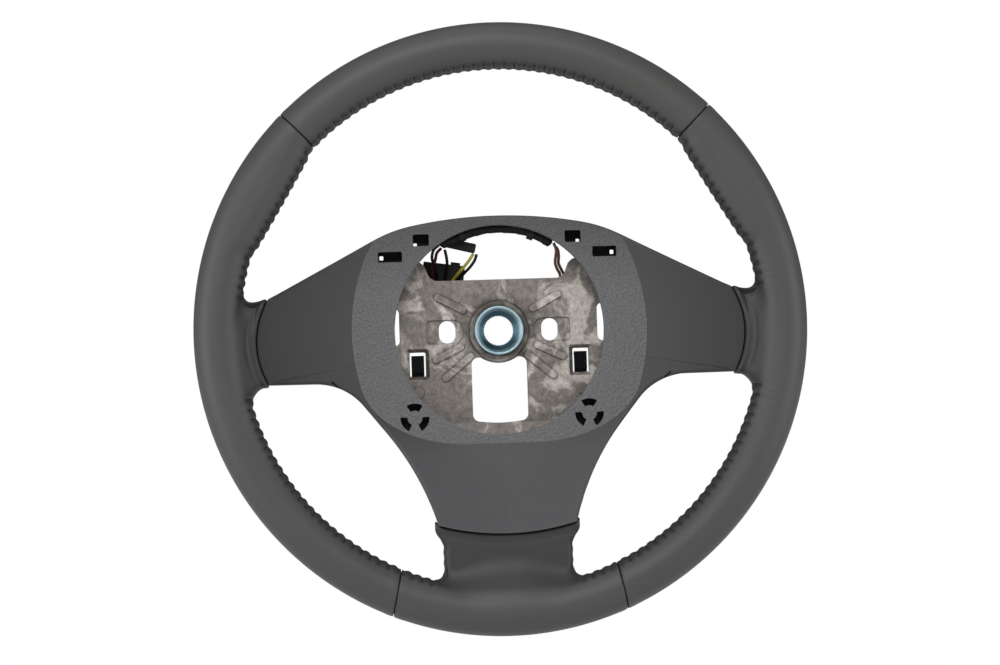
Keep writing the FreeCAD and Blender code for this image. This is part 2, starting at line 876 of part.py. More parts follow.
def pilot_depth(face_y):
    """Where a screw's pilot hole starts behind the cover's face."""
    return face_y + cover_wall + blind_wall


def front_cover():
    """One moulding: grained plateau round the opening, smooth spokes and a skirt."""
    inner_y = -plateau_front + cover_wall
    outer = cover_outline(0, -90, 40).common(behind_face(0, -plateau_front))
    hollow = cover_outline(cover_wall, -90, 60).common(behind_face(cover_wall, inner_y))
    body = outer.cut(hollow)
    body = body.cut(skirt_cutter()).cut(spoke_block(cover_gap))
    body = body.fuse(rod(0, 0, opening_radius + collar_wall, -plateau_front + 1, inner_y + collar_depth))
    side_y = side_face_y(spoke_screw_x)
    low_y = low_face_y(low_screw_z)
    lower = cover_boss(disc_x, disc_z, -plateau_front + 1, -plate_front - part_gap)
    side = cover_boss(spoke_screw_x, spoke_screw_z, side_y + 2, arm_front_y(spoke_screw_x) - boss_gap)
    low = cover_boss(0, low_screw_z, low_y + 2, leg_front_y(low_screw_z) - boss_gap)
    body = body.fuse([lower, mirror_x(lower), side, mirror_x(side), low])
    pockets = snap_pocket(slot_x, slot_z, slot_width, slot_height)
    pockets = pockets.fuse(snap_pocket(square_x, square_z, square_width, square_height))
    body = body.fuse([pockets, mirror_x(pockets)])
    slot = snap_mouth(slot_x, slot_z, slot_width, slot_height, slot_pin_x, 0)
    square = snap_mouth(square_x, square_z, square_width, square_height, square_pin_x, square_pin_z)
    foot = (armpit_x + 3, lip_bottom - 2)
    head = (foot[0] + relief_length * 0.75, foot[1] + relief_length * 0.66)
    relief = slanted_bar(foot, head, relief_width, -60, 0)
    pilot = screw_radius + 0.1
    pilots = [rod(disc_x, disc_z, pilot, inner_y, 0),
              rod(spoke_screw_x, spoke_screw_z, pilot, pilot_depth(side_y), 0)]
    right = slot.fuse([square, relief, ring_slots()] + pilots)
    body = body.cut(right).cut(mirror_x(right))
    body = body.cut(rod(0, low_screw_z, pilot, pilot_depth(low_y), 0))
    body = body.cut(rod(0, 0, opening_radius, -60, 40))
    return bounded(body)


def skirt_cutter():
    """Space behind the skirt's rear edge: deep round the hub, shallow along the spokes."""
    hub_zone = box(-back_start, back_start, skirt_depth - plateau_front, 80, -low_back_start, 90)
    spokes = behind_spokes(spoke_skirt)
    spokes = spokes.cut(box(-back_start, back_start, -90, 90, -low_back_start, 90))
    return hub_zone.fuse(spokes)


def spoke_back(side):
    """Tray that closes the back of a spoke, from behind the skirt's edge."""
    shape = cover_outline(0, -90, 60)
    layer = behind_spokes(spoke_skirt + part_gap).cut(behind_spokes(spoke_skirt + part_gap + back_depth))
    inner = cover_outline(back_wall, -90, 60)
    space = behind_spokes(0).cut(behind_spokes(spoke_skirt + part_gap + back_depth - back_wall))
    zone = box(back_start + part_gap, 200, -90, 60, -60, 60)
    inner_zone = box(back_start + part_gap + back_wall, 200, -90, 60, -60, 60)
    if side == "low":
        zone = box(-70, 70, -90, 60, -200, -low_back_start - part_gap)
        inner_zone = box(-70, 70, -90, 60, -200, -low_back_start - part_gap - back_wall)
    tray = shape.common(layer).common(zone)
    tray = tray.cut(inner.common(space).common(inner_zone))
    return tray.cut(spoke_block(part_gap))


def side_back():
    tray = spoke_back("side")
    start = arm_front_y(spoke_screw_x) + skin + head_boss_radius * slope_share
    boss = rod(spoke_screw_x, spoke_screw_z, head_boss_radius, start, side_sink_y() + 0.2)
    tray = tray.fuse(boss)
    hole = rod(spoke_screw_x, spoke_screw_z, screw_radius + screw_clearance, -80, 20)
    sink = rod(spoke_screw_x, spoke_screw_z, screw_head + screw_clearance, side_sink_y(), 20)
    return bounded(tray.cut(hole).cut(sink))


def side_sink_y():
    return side_face_y(spoke_screw_x) + spoke_skirt + back_depth - 0.9


def low_sink_y():
    return low_face_y(low_screw_z) + spoke_skirt + back_depth - 0.9


def low_back():
    tray = spoke_back("low")
    start = leg_front_y(low_screw_z) + skin + head_boss_radius * slope_share
    boss = rod(0, low_screw_z, head_boss_radius, start, low_sink_y() + 0.2)
    tray = tray.fuse(boss)
    hole = rod(0, low_screw_z, screw_radius + screw_clearance, -80, 20)
    sink = rod(0, low_screw_z, screw_head + screw_clearance, low_sink_y(), 20)
    return bounded(tray.cut(hole).cut(sink))


def screw(x, z, head_y, tip_y):
    """Pan-head screw driven from behind, head seated at head_y."""
    head = rod(x, z, screw_head, head_y, head_y + screw_head_height)
    shank = rod(x, z, screw_radius, tip_y, head_y)
    recess = rod(x, z, 1.5, head_y + screw_head_height - 1.4, head_y + screw_head_height + 1)
    tip = cone(x, z, 0.6, screw_radius, tip_y - screw_tip, tip_y)
    return bounded(head.fuse(shank).fuse(tip).cut(recess))


# Spring latches

def latch_seat():
    """Fixed foot of the right latch spring, flat on the back of the plate."""
    back = skin - plate_front
    top = tongue_root_z
    foot = box(latch_window_x - leaf_width / 2, latch_window_x + leaf_width / 2,
               back, back + leaf, top - seat_length, top)
    hole = rod(latch_window_x, rivet_z(), rivet_radius + screw_clearance, back - 1, back + 3)
    return foot.cut(hole)


def latch_tongue():
    """Leaf of the right latch, with the pressed pad that looks out of the window."""
    back = skin - plate_front + part_gap
    start = tongue_root_z + part_gap
    leaf_body = box(latch_window_x - leaf_width / 2, latch_window_x + leaf_width / 2,
                    back, back + leaf, start, start + tongue_length)
    pad = box(latch_window_x - leaf_width / 2, latch_window_x + leaf_width / 2,
              back - pad_proud, back + 0.2, latch_window_z - 5.4, latch_window_z + 5.6)
    hook = box(latch_window_x - leaf_width / 2, latch_window_x + leaf_width / 2,
               back + leaf - 0.2, back + leaf + 2.5, start + tongue_length - leaf, start + tongue_length)
    return bounded(leaf_body.fuse(pad).fuse(hook))


def latch_rivet():
    back = skin - plate_front
    shank = rod(latch_window_x, rivet_z(), rivet_radius, back - skin, back + leaf)
    rear = rod(latch_window_x, rivet_z(), rivet_head, back + leaf, back + leaf + 1.2)
    front = rod(latch_window_x, rivet_z(), rivet_head, back - skin - 1.0, back - skin)
    return bounded(shank.fuse(rear).fuse(front))


# Wiring

def tube_path(points):
    """Straight runs joined by tangent arcs, with the radii of the bends."""
    edges = []
    radii = []
    start = points[0]
    for i in range(1, len(points) - 1):
        before, corner, after = points[i - 1], points[i], points[i + 1]
        shorter = min(before.distanceToPoint(corner), corner.distanceToPoint(after))
        back = before.sub(corner).normalize()
        on = after.sub(corner).normalize()
        half_turn = (math.pi - back.getAngle(on)) / 2
        radius = 0.45 * shorter / math.tan(half_turn)
        first, top, last = arc_corner(before, corner, after, radius)
        edges.append(Part.LineSegment(start, first).toShape())
        edges.append(Part.Arc(first, top, last).toShape())
        radii.append(radius)
        start = last
    edges.append(Part.LineSegment(start, points[-1]).toShape())
    return Part.Wire(edges), radii


def tube(name, points, radius):
    """Wire or bundle along its route, with a printed check of its volume."""
    path, radii = tube_path([V(*p) for p in points])
    direction = V(*points[1]).sub(V(*points[0]))
    section = Part.Wire(Part.makeCircle(radius, V(*points[0]), direction))
    body = path.makePipeShell([section], True, False)
    ideal = math.pi * radius ** 2 * path.Length
    print(name, "volume share", round(body.Volume / ideal, 4), "radii", [round(r, 1) for r in radii])
    return body


def trunk():
    """Taped bundle that follows the opening's upper edge behind the cover."""
    middle = V(0, -trunk_depth, 0)
    circle = Part.Circle(middle, V(0, -1, 0), trunk_arc)
    start = math.radians(trunk_half_angle)
    left = V(-trunk_arc * math.sin(start), -trunk_depth, trunk_arc * math.cos(start))
    right = V(trunk_arc * math.sin(start), -trunk_depth, trunk_arc * math.cos(start))
    top = V(0, -trunk_depth, trunk_arc)
    path = Part.Wire(Part.Arc(left, top, right).toShape())
    tangent = V(math.cos(start), 0, math.sin(start))
    section = Part.Wire(Part.makeCircle(trunk_radius, left, tangent))
    return path.makePipeShell([section], True, False)


def trunk_end(side):
    """Point just past the trunk's end, side 1 for the right and -1 for the left."""
    angle = math.radians(trunk_half_angle)
    x = trunk_arc * math.sin(angle) + lead_gap * math.cos(angle)
    z = trunk_arc * math.cos(angle) - lead_gap * math.sin(angle)
    return V(side * x, -trunk_depth, z)


def trunk_clip(angle):
    """Band round the trunk with the foot that holds it to the back of the cover."""
    ring = rod(0, 0, trunk_radius + part_gap + clip_wall, -clip_width / 2, clip_width / 2)
    ring = ring.cut(rod(0, 0, trunk_radius + part_gap, -clip_width, clip_width))
    ring.rotate(V(0, 0, 0), V(0, 0, 1), 90)
    ring.translate(V(0, -trunk_depth, trunk_arc))
    foot_z = trunk_arc + trunk_radius + part_gap + 0.3
    foot = box(-clip_width / 2, clip_width / 2, -plateau_front + cover_wall + part_gap,
               -trunk_depth + 2, foot_z, foot_z + 3.4)
    return around_hub(bounded(ring.fuse(foot)), angle)


def taped_plug():
    """Flat plug wrapped in tape, behind the left part of the trunk."""
    body = box(-plug_length / 2, plug_length / 2, -plug_depth / 2, plug_depth / 2,
               -plug_height / 2, plug_height / 2)
    body = body.makeFillet(1.2, body.Edges)
    body.rotate(V(0, 0, 0), V(0, 1, 0), plug_tilt)
    body.translate(V(plug_x, plug_y, plug_z))
    return body


def connector_block():
    """Black connector housing behind the plate's upper left corner."""
    back = skin - plate_front + rib_depth + part_gap
    front = back + block_standoff
    body = box(-block_width / 2, block_width / 2, front, front + block_depth,
               -block_height / 2, block_height / 2)
    shelf = box(-block_width / 2 + 3, block_width / 2 - 3, front + 1.5, front + block_depth + 2.5,
                -block_height / 2 - 3, block_height / 2 - 5)
    left = box(-block_width / 2, -block_width / 2 + 2.5, back, front, -block_height / 2, block_height / 2 - 7)
    right = box(block_width / 2 - 2.5, block_width / 2, back, front, -block_height / 2, 3 - block_height / 2)
    latch = box(4, 10, front + 2, front + 5, block_height / 2 - 0.1, block_height / 2 + 1.8)
    chin = box(-block_width / 2 + 2, block_width / 2 - 2, back, front + 4,
               -block_height / 2 - chin_height, -block_height / 2)
    body = body.fuse([shelf, left, right, latch, chin])
    body.rotate(V(0, 0, 0), V(0, 1, 0), block_tilt)
    body.translate(V(block_x, 0, block_z))
    return bounded(body)


def chin_top(x):
    """Height at which a wire at x meets the top of the block's chin."""
    tilt = math.radians(block_tilt)
    half = block_height / 2
    along = (x - block_x + half * math.sin(tilt)) / math.cos(tilt)
    return block_z - along * math.sin(tilt) - half * math.cos(tilt) + 2 * wire_radius * math.sin(tilt)


def side_plug():
    """Small plug behind the plate's upper right corner."""
    front = skin - plate_front + rib_depth + part_gap
    body = box(side_plug_x - 5, side_plug_x + 5, front, front + 7, side_plug_z - 7, side_plug_z + 7)
    latch = box(side_plug_x - 2, side_plug_x + 2, front + 6.9, front + 8.4, side_plug_z - 3, side_plug_z + 6)
    return bounded(body.fuse(latch))


def wires():
    """Routes of the single wires, from the bundle's ends and the taped plug to the connectors."""
    lane = skin - plate_front + rib_depth + part_gap + block_standoff - wire_radius - 0.4
    left = trunk_end(-1)
    right = trunk_end(1)
    plug_top = side_plug_z + 7.3
    plug_y = skin - plate_front + rib_depth + part_gap + 3.5
    start_y = wire_start_y
    return {
        "wire_black_a": [(left.x - 0.6, left.y - 1.1, left.z + 0.9), (-39.6, -12.2, 51.9),
                         (-40.9, -8.5, 47.0), (-39.0, -3.0, 41.6), (-37.6, 3.6, 37.2),
                         (-36.2, lane, 31.5), (-36.0, lane, chin_top(-36.0))],
        "wire_red": [(left.x + 0.7, left.y + 1.2, left.z - 1.1), (-37.6, -8.2, 50.0),
                     (-38.4, -3.6, 45.6), (-40.6, 1.2, 40.0), (-40.6, lane, 34.5),
                     (-40.0, lane, chin_top(-40.0))],
        "wire_black_b": [(-32.4, -11.0, 51.2), (-31.4, -8.0, 47.0), (-30.9, -2.6, 42.4),
                         (-32.0, 3.0, 37.8), (-33.0, lane, 32.6), (-32.4, lane, chin_top(-32.4))],
        "wire_yellow": [(-14.6, start_y, 48.6), (-16.8, -4.6, 45.2), (-20.2, -1.6, 41.2),
                        (-24.0, 2.6, 37.4), (-27.4, lane, 33.4), (-29.2, lane, 29.6),
                        (-29.4, lane, chin_top(-29.4))],
        "wire_black_c": [(-12.4, start_y + 0.3, 48.3), (-13.6, -4.6, 44.6), (-16.8, -1.2, 40.4),
                         (-20.6, 3.2, 37.0), (-24.0, lane, 33.0), (-25.4, lane, 28.8),
                         (-25.6, lane, chin_top(-25.6))],
        "wire_brown_a": [(right.x + 0.5, right.y - 1.1, right.z + 0.2), (37.6, -12.0, 49.6),
                         (37.3, -7.8, 45.4), (37.0, -2.6, 41.8), (38.6, 3.4, 38.4),
                         (40.7, 7.2, 35.4), (41.2, plug_y, plug_top)],
        "wire_brown_b": [(right.x + 1.0, right.y + 1.1, right.z - 1.2), (38.9, -8.6, 49.8),
                         (39.5, -5.0, 45.2), (39.2, -0.6, 41.8), (41.2, 4.4, 38.4),
                         (43.1, 7.6, 35.2), (43.6, plug_y, plug_top)],
    }


def export(name, shape):
    shape.exportStep("parts/" + name + ".step")
    print(name, shape.isValid(), len(shape.Solids), round(shape.Volume))


def main():
    os.makedirs("parts", exist_ok=True)
    export("armature", armature())
    export("armature_ring", bounded(armature_ring(0)))
    export("hub_insert", hub_insert())
    export("rim_foam", rim_foam())
    export("leather_top", leather_top())
    export("leather_bottom", leather_bottom())
    export("front_cover", front_cover())
    export("spoke_back_lower", low_back())
    low_tip = pilot_depth(low_face_y(low_screw_z)) + screw_tip + part_gap
    side_tip = pilot_depth(side_face_y(spoke_screw_x)) + screw_tip + part_gap
    cover_tip = -plateau_front + cover_wall + screw_tip + part_gap
    export("spoke_screw_lower", screw(0, low_screw_z, low_sink_y(), low_tip))
    handed = {
        "leather": leather_right(),
        "spoke_back": side_back(),
        "spoke_screw": screw(spoke_screw_x, spoke_screw_z, side_sink_y(), side_tip),
        "cover_screw": screw(disc_x, disc_z, skin - plate_front, cover_tip),
        "latch_seat": latch_seat(),
        "latch_tongue": latch_tongue(),
        "latch_rivet": latch_rivet(),
        "trunk_clip": trunk_clip(-clip_angle),
    }
    for name, shape in handed.items():
        export(name + "_right", shape)
        export(name + "_left", mirror_x(shape))
    export("trunk", trunk())
    export("taped_plug", taped_plug())
    export("connector_block", connector_block())
    export("side_plug", side_plug())
    for name, points in wires().items():
        export(name, tube(name, points, wire_radius))


main()
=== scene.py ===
import math

import bpy
import numpy as np
from mathutils import Matrix, Vector


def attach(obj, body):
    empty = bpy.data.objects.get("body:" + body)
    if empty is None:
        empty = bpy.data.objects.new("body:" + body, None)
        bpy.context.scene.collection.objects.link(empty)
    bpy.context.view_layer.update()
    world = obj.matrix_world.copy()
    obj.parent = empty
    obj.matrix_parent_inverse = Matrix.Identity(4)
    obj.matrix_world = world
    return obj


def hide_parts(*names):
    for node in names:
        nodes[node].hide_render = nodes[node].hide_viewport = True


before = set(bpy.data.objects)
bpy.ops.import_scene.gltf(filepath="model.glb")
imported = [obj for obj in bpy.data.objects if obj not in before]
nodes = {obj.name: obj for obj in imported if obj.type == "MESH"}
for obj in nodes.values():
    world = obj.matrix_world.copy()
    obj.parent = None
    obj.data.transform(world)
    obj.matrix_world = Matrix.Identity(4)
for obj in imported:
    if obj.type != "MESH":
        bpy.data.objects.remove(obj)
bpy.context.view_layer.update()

# Car steering wheel: leather rim, spoke cover, cast armature and wiring.
# Lengths in the settings are millimetres, as in the frame's own drawing; meshes are written in metres.

mm = 0.001


# Small helpers

def linear(hexColour):
    """sRGB hex to a linear colour with alpha: the sRGB curve undone channel by channel."""
    channels = [int(hexColour[i:i + 2], 16) / 255 for i in (1, 3, 5)]
    curve = [c / 12.92 if c <= 0.04045 else ((c + 0.055) / 1.055) ** 2.4 for c in channels]
    return (*curve, 1.0)


def smooth(value, low, high):
    """Smooth step from 0 at low to 1 at high: 3t^2 - 2t^3."""
    t = np.clip((value - low) / (high - low), 0, 1)
    return t * t * (3 - 2 * t)


def bell(value, centre, width):
    """Gaussian bell of height 1 round centre."""
    return np.exp(-((value - centre) / width) ** 2)


def wrapped(angle):
    """Angle brought between -pi and pi."""
    return (angle + math.pi) % (2 * math.pi) - math.pi


def unit(vectors):
    return vectors / np.linalg.norm(vectors, axis=-1, keepdims=True)


def newMesh(name, points, faces):
    """Mesh in metres from points in mm."""
    mesh = bpy.data.meshes.new(name)
    mesh.from_pydata(np.asarray(points) * mm, [], faces if isinstance(faces, list) else faces.tolist())
    return mesh


def addObject(name, data):
    made = bpy.data.objects.new(name, data)
    bpy.context.scene.collection.objects.link(made)
    return made


def makePiece(name, points, faces, body="wheel", attributes=None, shadeSmooth=True):
    """Piece on a body, from points in mm and faces; attributes are one number per point."""
    mesh = newMesh(name, points, faces)
    for key, values in (attributes or {}).items():
        layer = mesh.attributes.new(key, "FLOAT", "POINT")
        layer.data.foreach_set("value", np.ascontiguousarray(values, dtype=np.float32).ravel())
    mesh.validate()
    mesh.polygons.foreach_set("use_smooth", [shadeSmooth] * len(mesh.polygons))
    mesh.update()
    piece = addObject(name, mesh)
    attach(piece, body)
    return piece


def gridFaces(rows, columns, wrapRows=False, wrapColumns=False, flip=False):
    """Quads of a grid whose point (i, j) has index i * columns + j."""
    index = np.arange(rows * columns).reshape(rows, columns)
    below, beside = np.roll(index, -1, 0), np.roll(index, -1, 1)
    quads = np.stack([index, below, np.roll(below, -1, 1), beside], -1)
    quads = quads[:rows - 1 + wrapRows, :columns - 1 + wrapColumns].reshape(-1, 4)
    return quads[:, ::-1] if flip else quads


# Materials

def setInputs(tree, node, **inputs):
    """Sets or links a node's inputs, each given by its name or as i0, i1 and so on."""
    for key, value in inputs.items():
        byNumber = key[0] == "i" and key[1:].isdigit()
        socket = node.inputs[int(key[1:]) if byNumber else key.replace("_", " ")]
        if isinstance(value, bpy.types.NodeSocket):
            tree.links.new(value, socket)
        else:
            socket.default_value = value


def addNode(tree, kind, settings=None, **inputs):
    """Adds one node with its properties and inputs."""
    made = tree.nodes.new("ShaderNode" + kind)
    for key, value in (settings or {}).items():
        setattr(made, key, value)
    setInputs(tree, made, **inputs)
    return made


def newMaterial(name):
    """Empty material with a Principled shader and Object coordinates in metres."""
    material = bpy.data.materials.new(name)
    material.use_nodes = True
    tree = material.node_tree
    tree.nodes.clear()
    shader = addNode(tree, "BsdfPrincipled")
    addNode(tree, "OutputMaterial", None, i0=shader.outputs[0])
    place = addNode(tree, "TexCoord").outputs["Object"]
    return material, tree, shader, place


def perMm(size):
    """Texture scale at which a feature of this size in mm spans one unit of Object coordinates."""
    return 1000.0 / size


def maths(tree, operation, *values):
    """Result of one Math node."""
    inputs = {"i%d" % number: value for number, value in enumerate(values)}
    return addNode(tree, "Math", {"operation": operation}, **inputs).outputs[0]


def ranged(tree, value, low=0.0, high=1.0, toLow=0.0, toHigh=1.0):
    """Value carried from one range to another in a straight line, and held at the ends."""
    return addNode(tree, "MapRange", None, i0=value, i1=low, i2=high, i3=toLow, i4=toHigh).outputs[0]


def lengthOf(tree, vector):
    return addNode(tree, "VectorMath", {"operation": "LENGTH"}, i0=vector).outputs["Value"]


def fromAxis(tree, place):
    """Distance from the hub's axis: the length of the place without its depth."""
    flat = addNode(tree, "Mapping", None, Vector=place, Scale=(1.0, 0.0, 1.0))
    return lengthOf(tree, flat.outputs[0])


def blend(tree, factor, first, second):
    """Mix of two colours, each a socket or an sRGB hex."""
    first, second = (linear(colour) if isinstance(colour, str) else colour for colour in (first, second))
    return addNode(tree, "Mix", {"data_type": "RGBA"}, i0=factor, i6=first, i7=second).outputs[2]


def noise(tree, place, size, detail, **others):
    """Noise with features of this size in mm."""
    return addNode(tree, "TexNoise", None, Vector=place, Scale=perMm(size), Detail=detail,
                   **others).outputs[0]


def cells(tree, place, size, feature, **others):
    """Voronoi distance with cells of this size in mm."""
    return addNode(tree, "TexVoronoi", {"feature": feature}, Vector=place, Scale=perMm(size),
                   **others).outputs[0]


def roundedEdges(tree, radius, samples):
    """Normal that rounds sharp edges by a radius in mm."""
    return addNode(tree, "Bevel", {"samples": samples}, Radius=radius * mm).outputs[0]


def bumped(tree, height, strength, depth, **normal):
    """Normal bent by a height, whose full depth is in mm."""
    return addNode(tree, "Bump", None, Height=height, Strength=strength, Distance=depth * mm,
                   **normal).outputs[0]


def leatherMaterial():
    """Corrected-grain cowhide, dyed grey and lightly lacquered: soft satin gloss and faint pores. Painted
    shade darkens the inner side of the section, and painted shade makes the stitch holes, grooves and creases
    nearly black; the seams are nearly black too."""
    material, tree, shader, place = newMaterial("greyLeather")
    patch = noise(tree, place, 40, 3.0, Roughness=0.5)
    # innerShade: painted shade on the inner side of the section.
    innerShade, sewn = (addNode(tree, "Attribute", {"attribute_name": name}).outputs["Fac"]
                  for name in ("inner", "seam"))
    baseLeather = blend(tree, patch, "#3c3c3b", "#434342")
    # Painted shade: the colour darkens towards the inner side of the section.
    shadedLeather = blend(tree, innerShade, baseLeather, "#2c2c2b")
    grain = maths(tree, "MULTIPLY_ADD", cells(tree, place, 1.1, "DISTANCE_TO_EDGE"), 0.6,
                  noise(tree, place, 0.5, 2.0))
    # Near black where the seam attribute is set: painted shade in the stitch holes, grooves and creases, and
    # the dark seams.
    setInputs(tree, shader, Base_Color=blend(tree, sewn, shadedLeather, "#0d0d0d"), IOR=1.48,
              Roughness=ranged(tree, patch, toLow=0.5, toHigh=0.58), Normal=bumped(tree, grain, 0.16, 0.2))
    return material


def coverMaterial():
    """Moulded ABS, parted by place: pebble grain on the plateau, with painted shade towards its top, and fine
    satin on the spokes, with painted shade darkening the side spokes outwards and painted light making the
    lower spoke lighter. The plateau's edge is the cover's crease."""
    material, tree, shader, place = newMaterial("mouldedCover")
    apart = addNode(tree, "SeparateXYZ", None, i0=place)
    corner = cover["creaseCorner"]
    fromCentre = maths(tree, "ADD", maths(tree, "ABSOLUTE", apart.outputs["X"]),
                       (cover["creaseRadius"] - cover["creaseReach"]) * mm)
    flat = addNode(tree, "CombineXYZ", None, X=fromCentre, Z=apart.outputs["Z"]).outputs[0]
    sideIn = maths(tree, "SUBTRACT", lengthOf(tree, flat), (cover["creaseRadius"] - corner) * mm)
    lowIn = maths(tree, "SUBTRACT", (corner - cover["lowCrease"]) * mm, apart.outputs["Z"])
    over = addNode(tree, "CombineXYZ", None, X=maths(tree, "MAXIMUM", sideIn, 0.0),
                   Y=maths(tree, "MAXIMUM", lowIn, 0.0)).outputs[0]
    past = lengthOf(tree, over)
    inside = maths(tree, "LESS_THAN", past, corner * mm)
    # Painted shade: the side spokes darken from the crease out towards the rim.
    sideSpokeShaded = blend(tree, ranged(tree, past, corner * mm, 90 * mm), "#3d3d3d", "#2c2c2c")
    # Painted light: the lower spoke gets a lighter colour than the side spokes.
    spoke = blend(tree, ranged(tree, lowIn, 20 * mm, 40 * mm), sideSpokeShaded, "#474749")
    fleck = ranged(tree, noise(tree, place, 1.3, 3.0), 0.3, 0.7)
    # Painted shade: the plateau's colour darkens towards its top.
    upper = ranged(tree, apart.outputs["Z"], 25 * mm, 65 * mm, toHigh=0.7)
    plateau = blend(tree, upper, blend(tree, fleck, "#575759", "#6b6b6c"), "#474647")
    pebble = maths(tree, "MULTIPLY", cells(tree, place, 1.5, "SMOOTH_F1", Smoothness=0.7), inside)
    setInputs(tree, shader, Base_Color=blend(tree, inside, spoke, plateau), IOR=1.5,
              Specular_IOR_Level=0.28, Roughness=ranged(tree, inside, toLow=0.5, toHigh=0.62),
              Normal=bumped(tree, pebble, 0.7, 1.1))
    return material


def castMaterial():
    """Die-cast magnesium as it leaves the die: dull grey-brown, pale flow patches, and painted shade in the
    corners and on the hub's boss."""
    material, tree, shader, place = newMaterial("castMagnesium")
    patch = ranged(tree, noise(tree, place, 34, 5.0, Roughness=0.62, Distortion=1.2), 0.5, 0.575)
    streak = noise(tree, place, 4, 8.0, Roughness=0.8)
    mottle = ranged(tree, streak, 0.34, 0.66)
    grey = blend(tree, mottle, "#5c5753", "#98928d")
    pale = blend(tree, mottle, "#8a837d", "#d6cfc8")
    # Painted shade: ambient occlusion darkens the colour in corners and along edges.
    corner = addNode(tree, "AmbientOcclusion", {"samples": 8}, Distance=9 * mm).outputs["AO"]
    shade = ranged(tree, corner, 0.4, 0.97, 0.22, 1.0)
    # Painted shade on the hub's boss round the insert.
    boss = ranged(tree, fromAxis(tree, place), 17.8 * mm, 19.5 * mm, 0.5, 1.0)
    colour = addNode(tree, "Mix", {"data_type": "RGBA", "blend_type": "MULTIPLY"}, i0=1.0,
                     i6=blend(tree, patch, grey, pale), i7=maths(tree, "MULTIPLY", shade, boss))
    normal = bumped(tree, streak, 0.3, 0.5, Normal=roundedEdges(tree, 0.7, 6))
    setInputs(tree, shader, Base_Color=colour.outputs[2], Metallic=0.75, Normal=normal,
              Roughness=ranged(tree, streak, toLow=0.42, toHigh=0.62))
    return material


def zincMaterial():
    """Turned steel with blue zinc plating: clear highlights, fine turning rings and painted shade in the
    bore.
    """
    material, tree, shader, place = newMaterial("blueZinc")
    distance = fromAxis(tree, place)
    rings = addNode(tree, "TexNoise", {"noise_dimensions": "1D"}, W=distance, Scale=perMm(0.35),
                    Detail=3.0).outputs[0]
    plated = blend(tree, noise(tree, place, 6, 3.0), "#98b6c0", "#bdd5dd")
    # Painted shade: darker colour inside the bore.
    colour = blend(tree, ranged(tree, distance, 12.2 * mm, 12.8 * mm), "#3c535e", plated)
    normal = bumped(tree, rings, 0.25, 0.1, Normal=roundedEdges(tree, 0.5, 6))
    setInputs(tree, shader, Base_Color=colour, Metallic=1.0, Roughness=0.42, Normal=normal)
    return material


def plasticMaterial(name, dark, light, roughness, grain, strength):
    """Moulded or extruded plastic with a faint cloud in its colour and a fine surface grain in mm."""
    material, tree, shader, place = newMaterial(name)
    normal = bumped(tree, noise(tree, place, grain, 2.0), strength, 0.2, Normal=roundedEdges(tree, 0.3, 4))
    setInputs(tree, shader, Base_Color=blend(tree, noise(tree, place, 12, 2.0), dark, light),
              Roughness=roughness, IOR=1.5, Specular_IOR_Level=0.25, Normal=normal)
    return material


def metalMaterial(name, dark, light, roughness):
    """Small stamped or plated steel part: thin cloudy variation over a metal."""
    material, tree, shader, place = newMaterial(name)
    setInputs(tree, shader, Base_Color=blend(tree, noise(tree, place, 3, 3.0), dark, light),
              Metallic=0.9, Roughness=roughness, Normal=roundedEdges(tree, 0.3, 4))
    return material


# Rim leather: the panels are traced on one field, so that rim, swells and spoke roots flow together

rim = {
    "ring": 173.2, "section": 14.3, "forward": 52.0, "halfPlane": -42.0, "halfBlend": 4.0,
    "swellFrom": 16.5, "swellEase": 0.06, "upperSeam": 45.5, "lowerSeam": 67.6, "lowSeamLean": 0.19,
    "seamGap": 0.12, "seamRound": 0.45, "seamShade": 0.55, "seamEase": 0.6, "cell": 0.72, "endRound": 1.0,
    "tongueEnd": 13.5, "backFall": 6.8, "fallEnd": 6.0, "filletDepth": 9.0, "filletEdge": (0.1, 1.05),
    # innerShade: degrees either side of the stitched middle over which the painted inner shade fades out.
    "rootEase": (0.6, 3.0), "facing": (0.1, 0.6), "innerShade": (12, 38),
}
sideRoot = {
    "reach": 149.8, "bow": 6.8, "top": 21.3, "bottom": -31.2, "fall": 0.11, "fallFrom": 143.0,
    "front": -51.5, "back": -33.0, "corner": 6.0, "bead": (0.8, -1.6, 2.2),
    "upperFillet": 8.0, "lowerFillet": 14.0, "frontFillet": 14.0, "backFillet": 9.0,
}
lowRoot = {
    "reach": 125.6, "bow": 6.6, "half": 44.3, "neck": 39.5, "flare": (-132.5, -122.0),
    "front": -51.5, "back": -33.0, "corner": 5.0, "ear": 2.0, "earAt": (41.0, 43.6), "lipShare": 0.6,
    "upperFillet": 8.5, "lowerFillet": 8.5, "frontFillet": 22.0, "backFillet": 9.0,
}
stitch = {
    "pitch": 6.2, "inset": 1.5, "middle": 12.0, "half": 20.0, "ends": (-1, 7), "fade": 2.0,
    "groove": 0.55, "grooveWidth": 0.9, "hole": 0.95, "holeWidth": 0.55, "crease": 0.45, "creaseWidth": 0.5,
    "pucker": 0.56, "puckerEnds": (10, 42), "sideTop": 8.2, "sideBottom": -14.5, "low": 17.0,
    "thread": 0.38, "steps": 9, "sides": 6, "slant": 0.35, "sink": 0.5, "dive": 1.1, "margin": 0.7,
}
relief = {  # height, place and width
    "seamSwell": (0.12, 3.4, 2.4), "seamDip": (0.16, 0, 0.9), "lipBead": (0.65, 1.7, 1.1),
    "lipValley": (0.55, 5.0, 1.8), "upperFolds": (0.08, 9.5, 3.2), "lowerFolds": (0.08, -15.0, 4.0),
    "neck": 0.16,
}


def radiusOf(p):
    """Distance from the hub's axis."""
    return np.hypot(p[..., 0], p[..., 2])


def turnOf(p):
    """Angle round the hub's axis in radians, from the right upwards."""
    return np.arctan2(p[..., 2], p[..., 0])


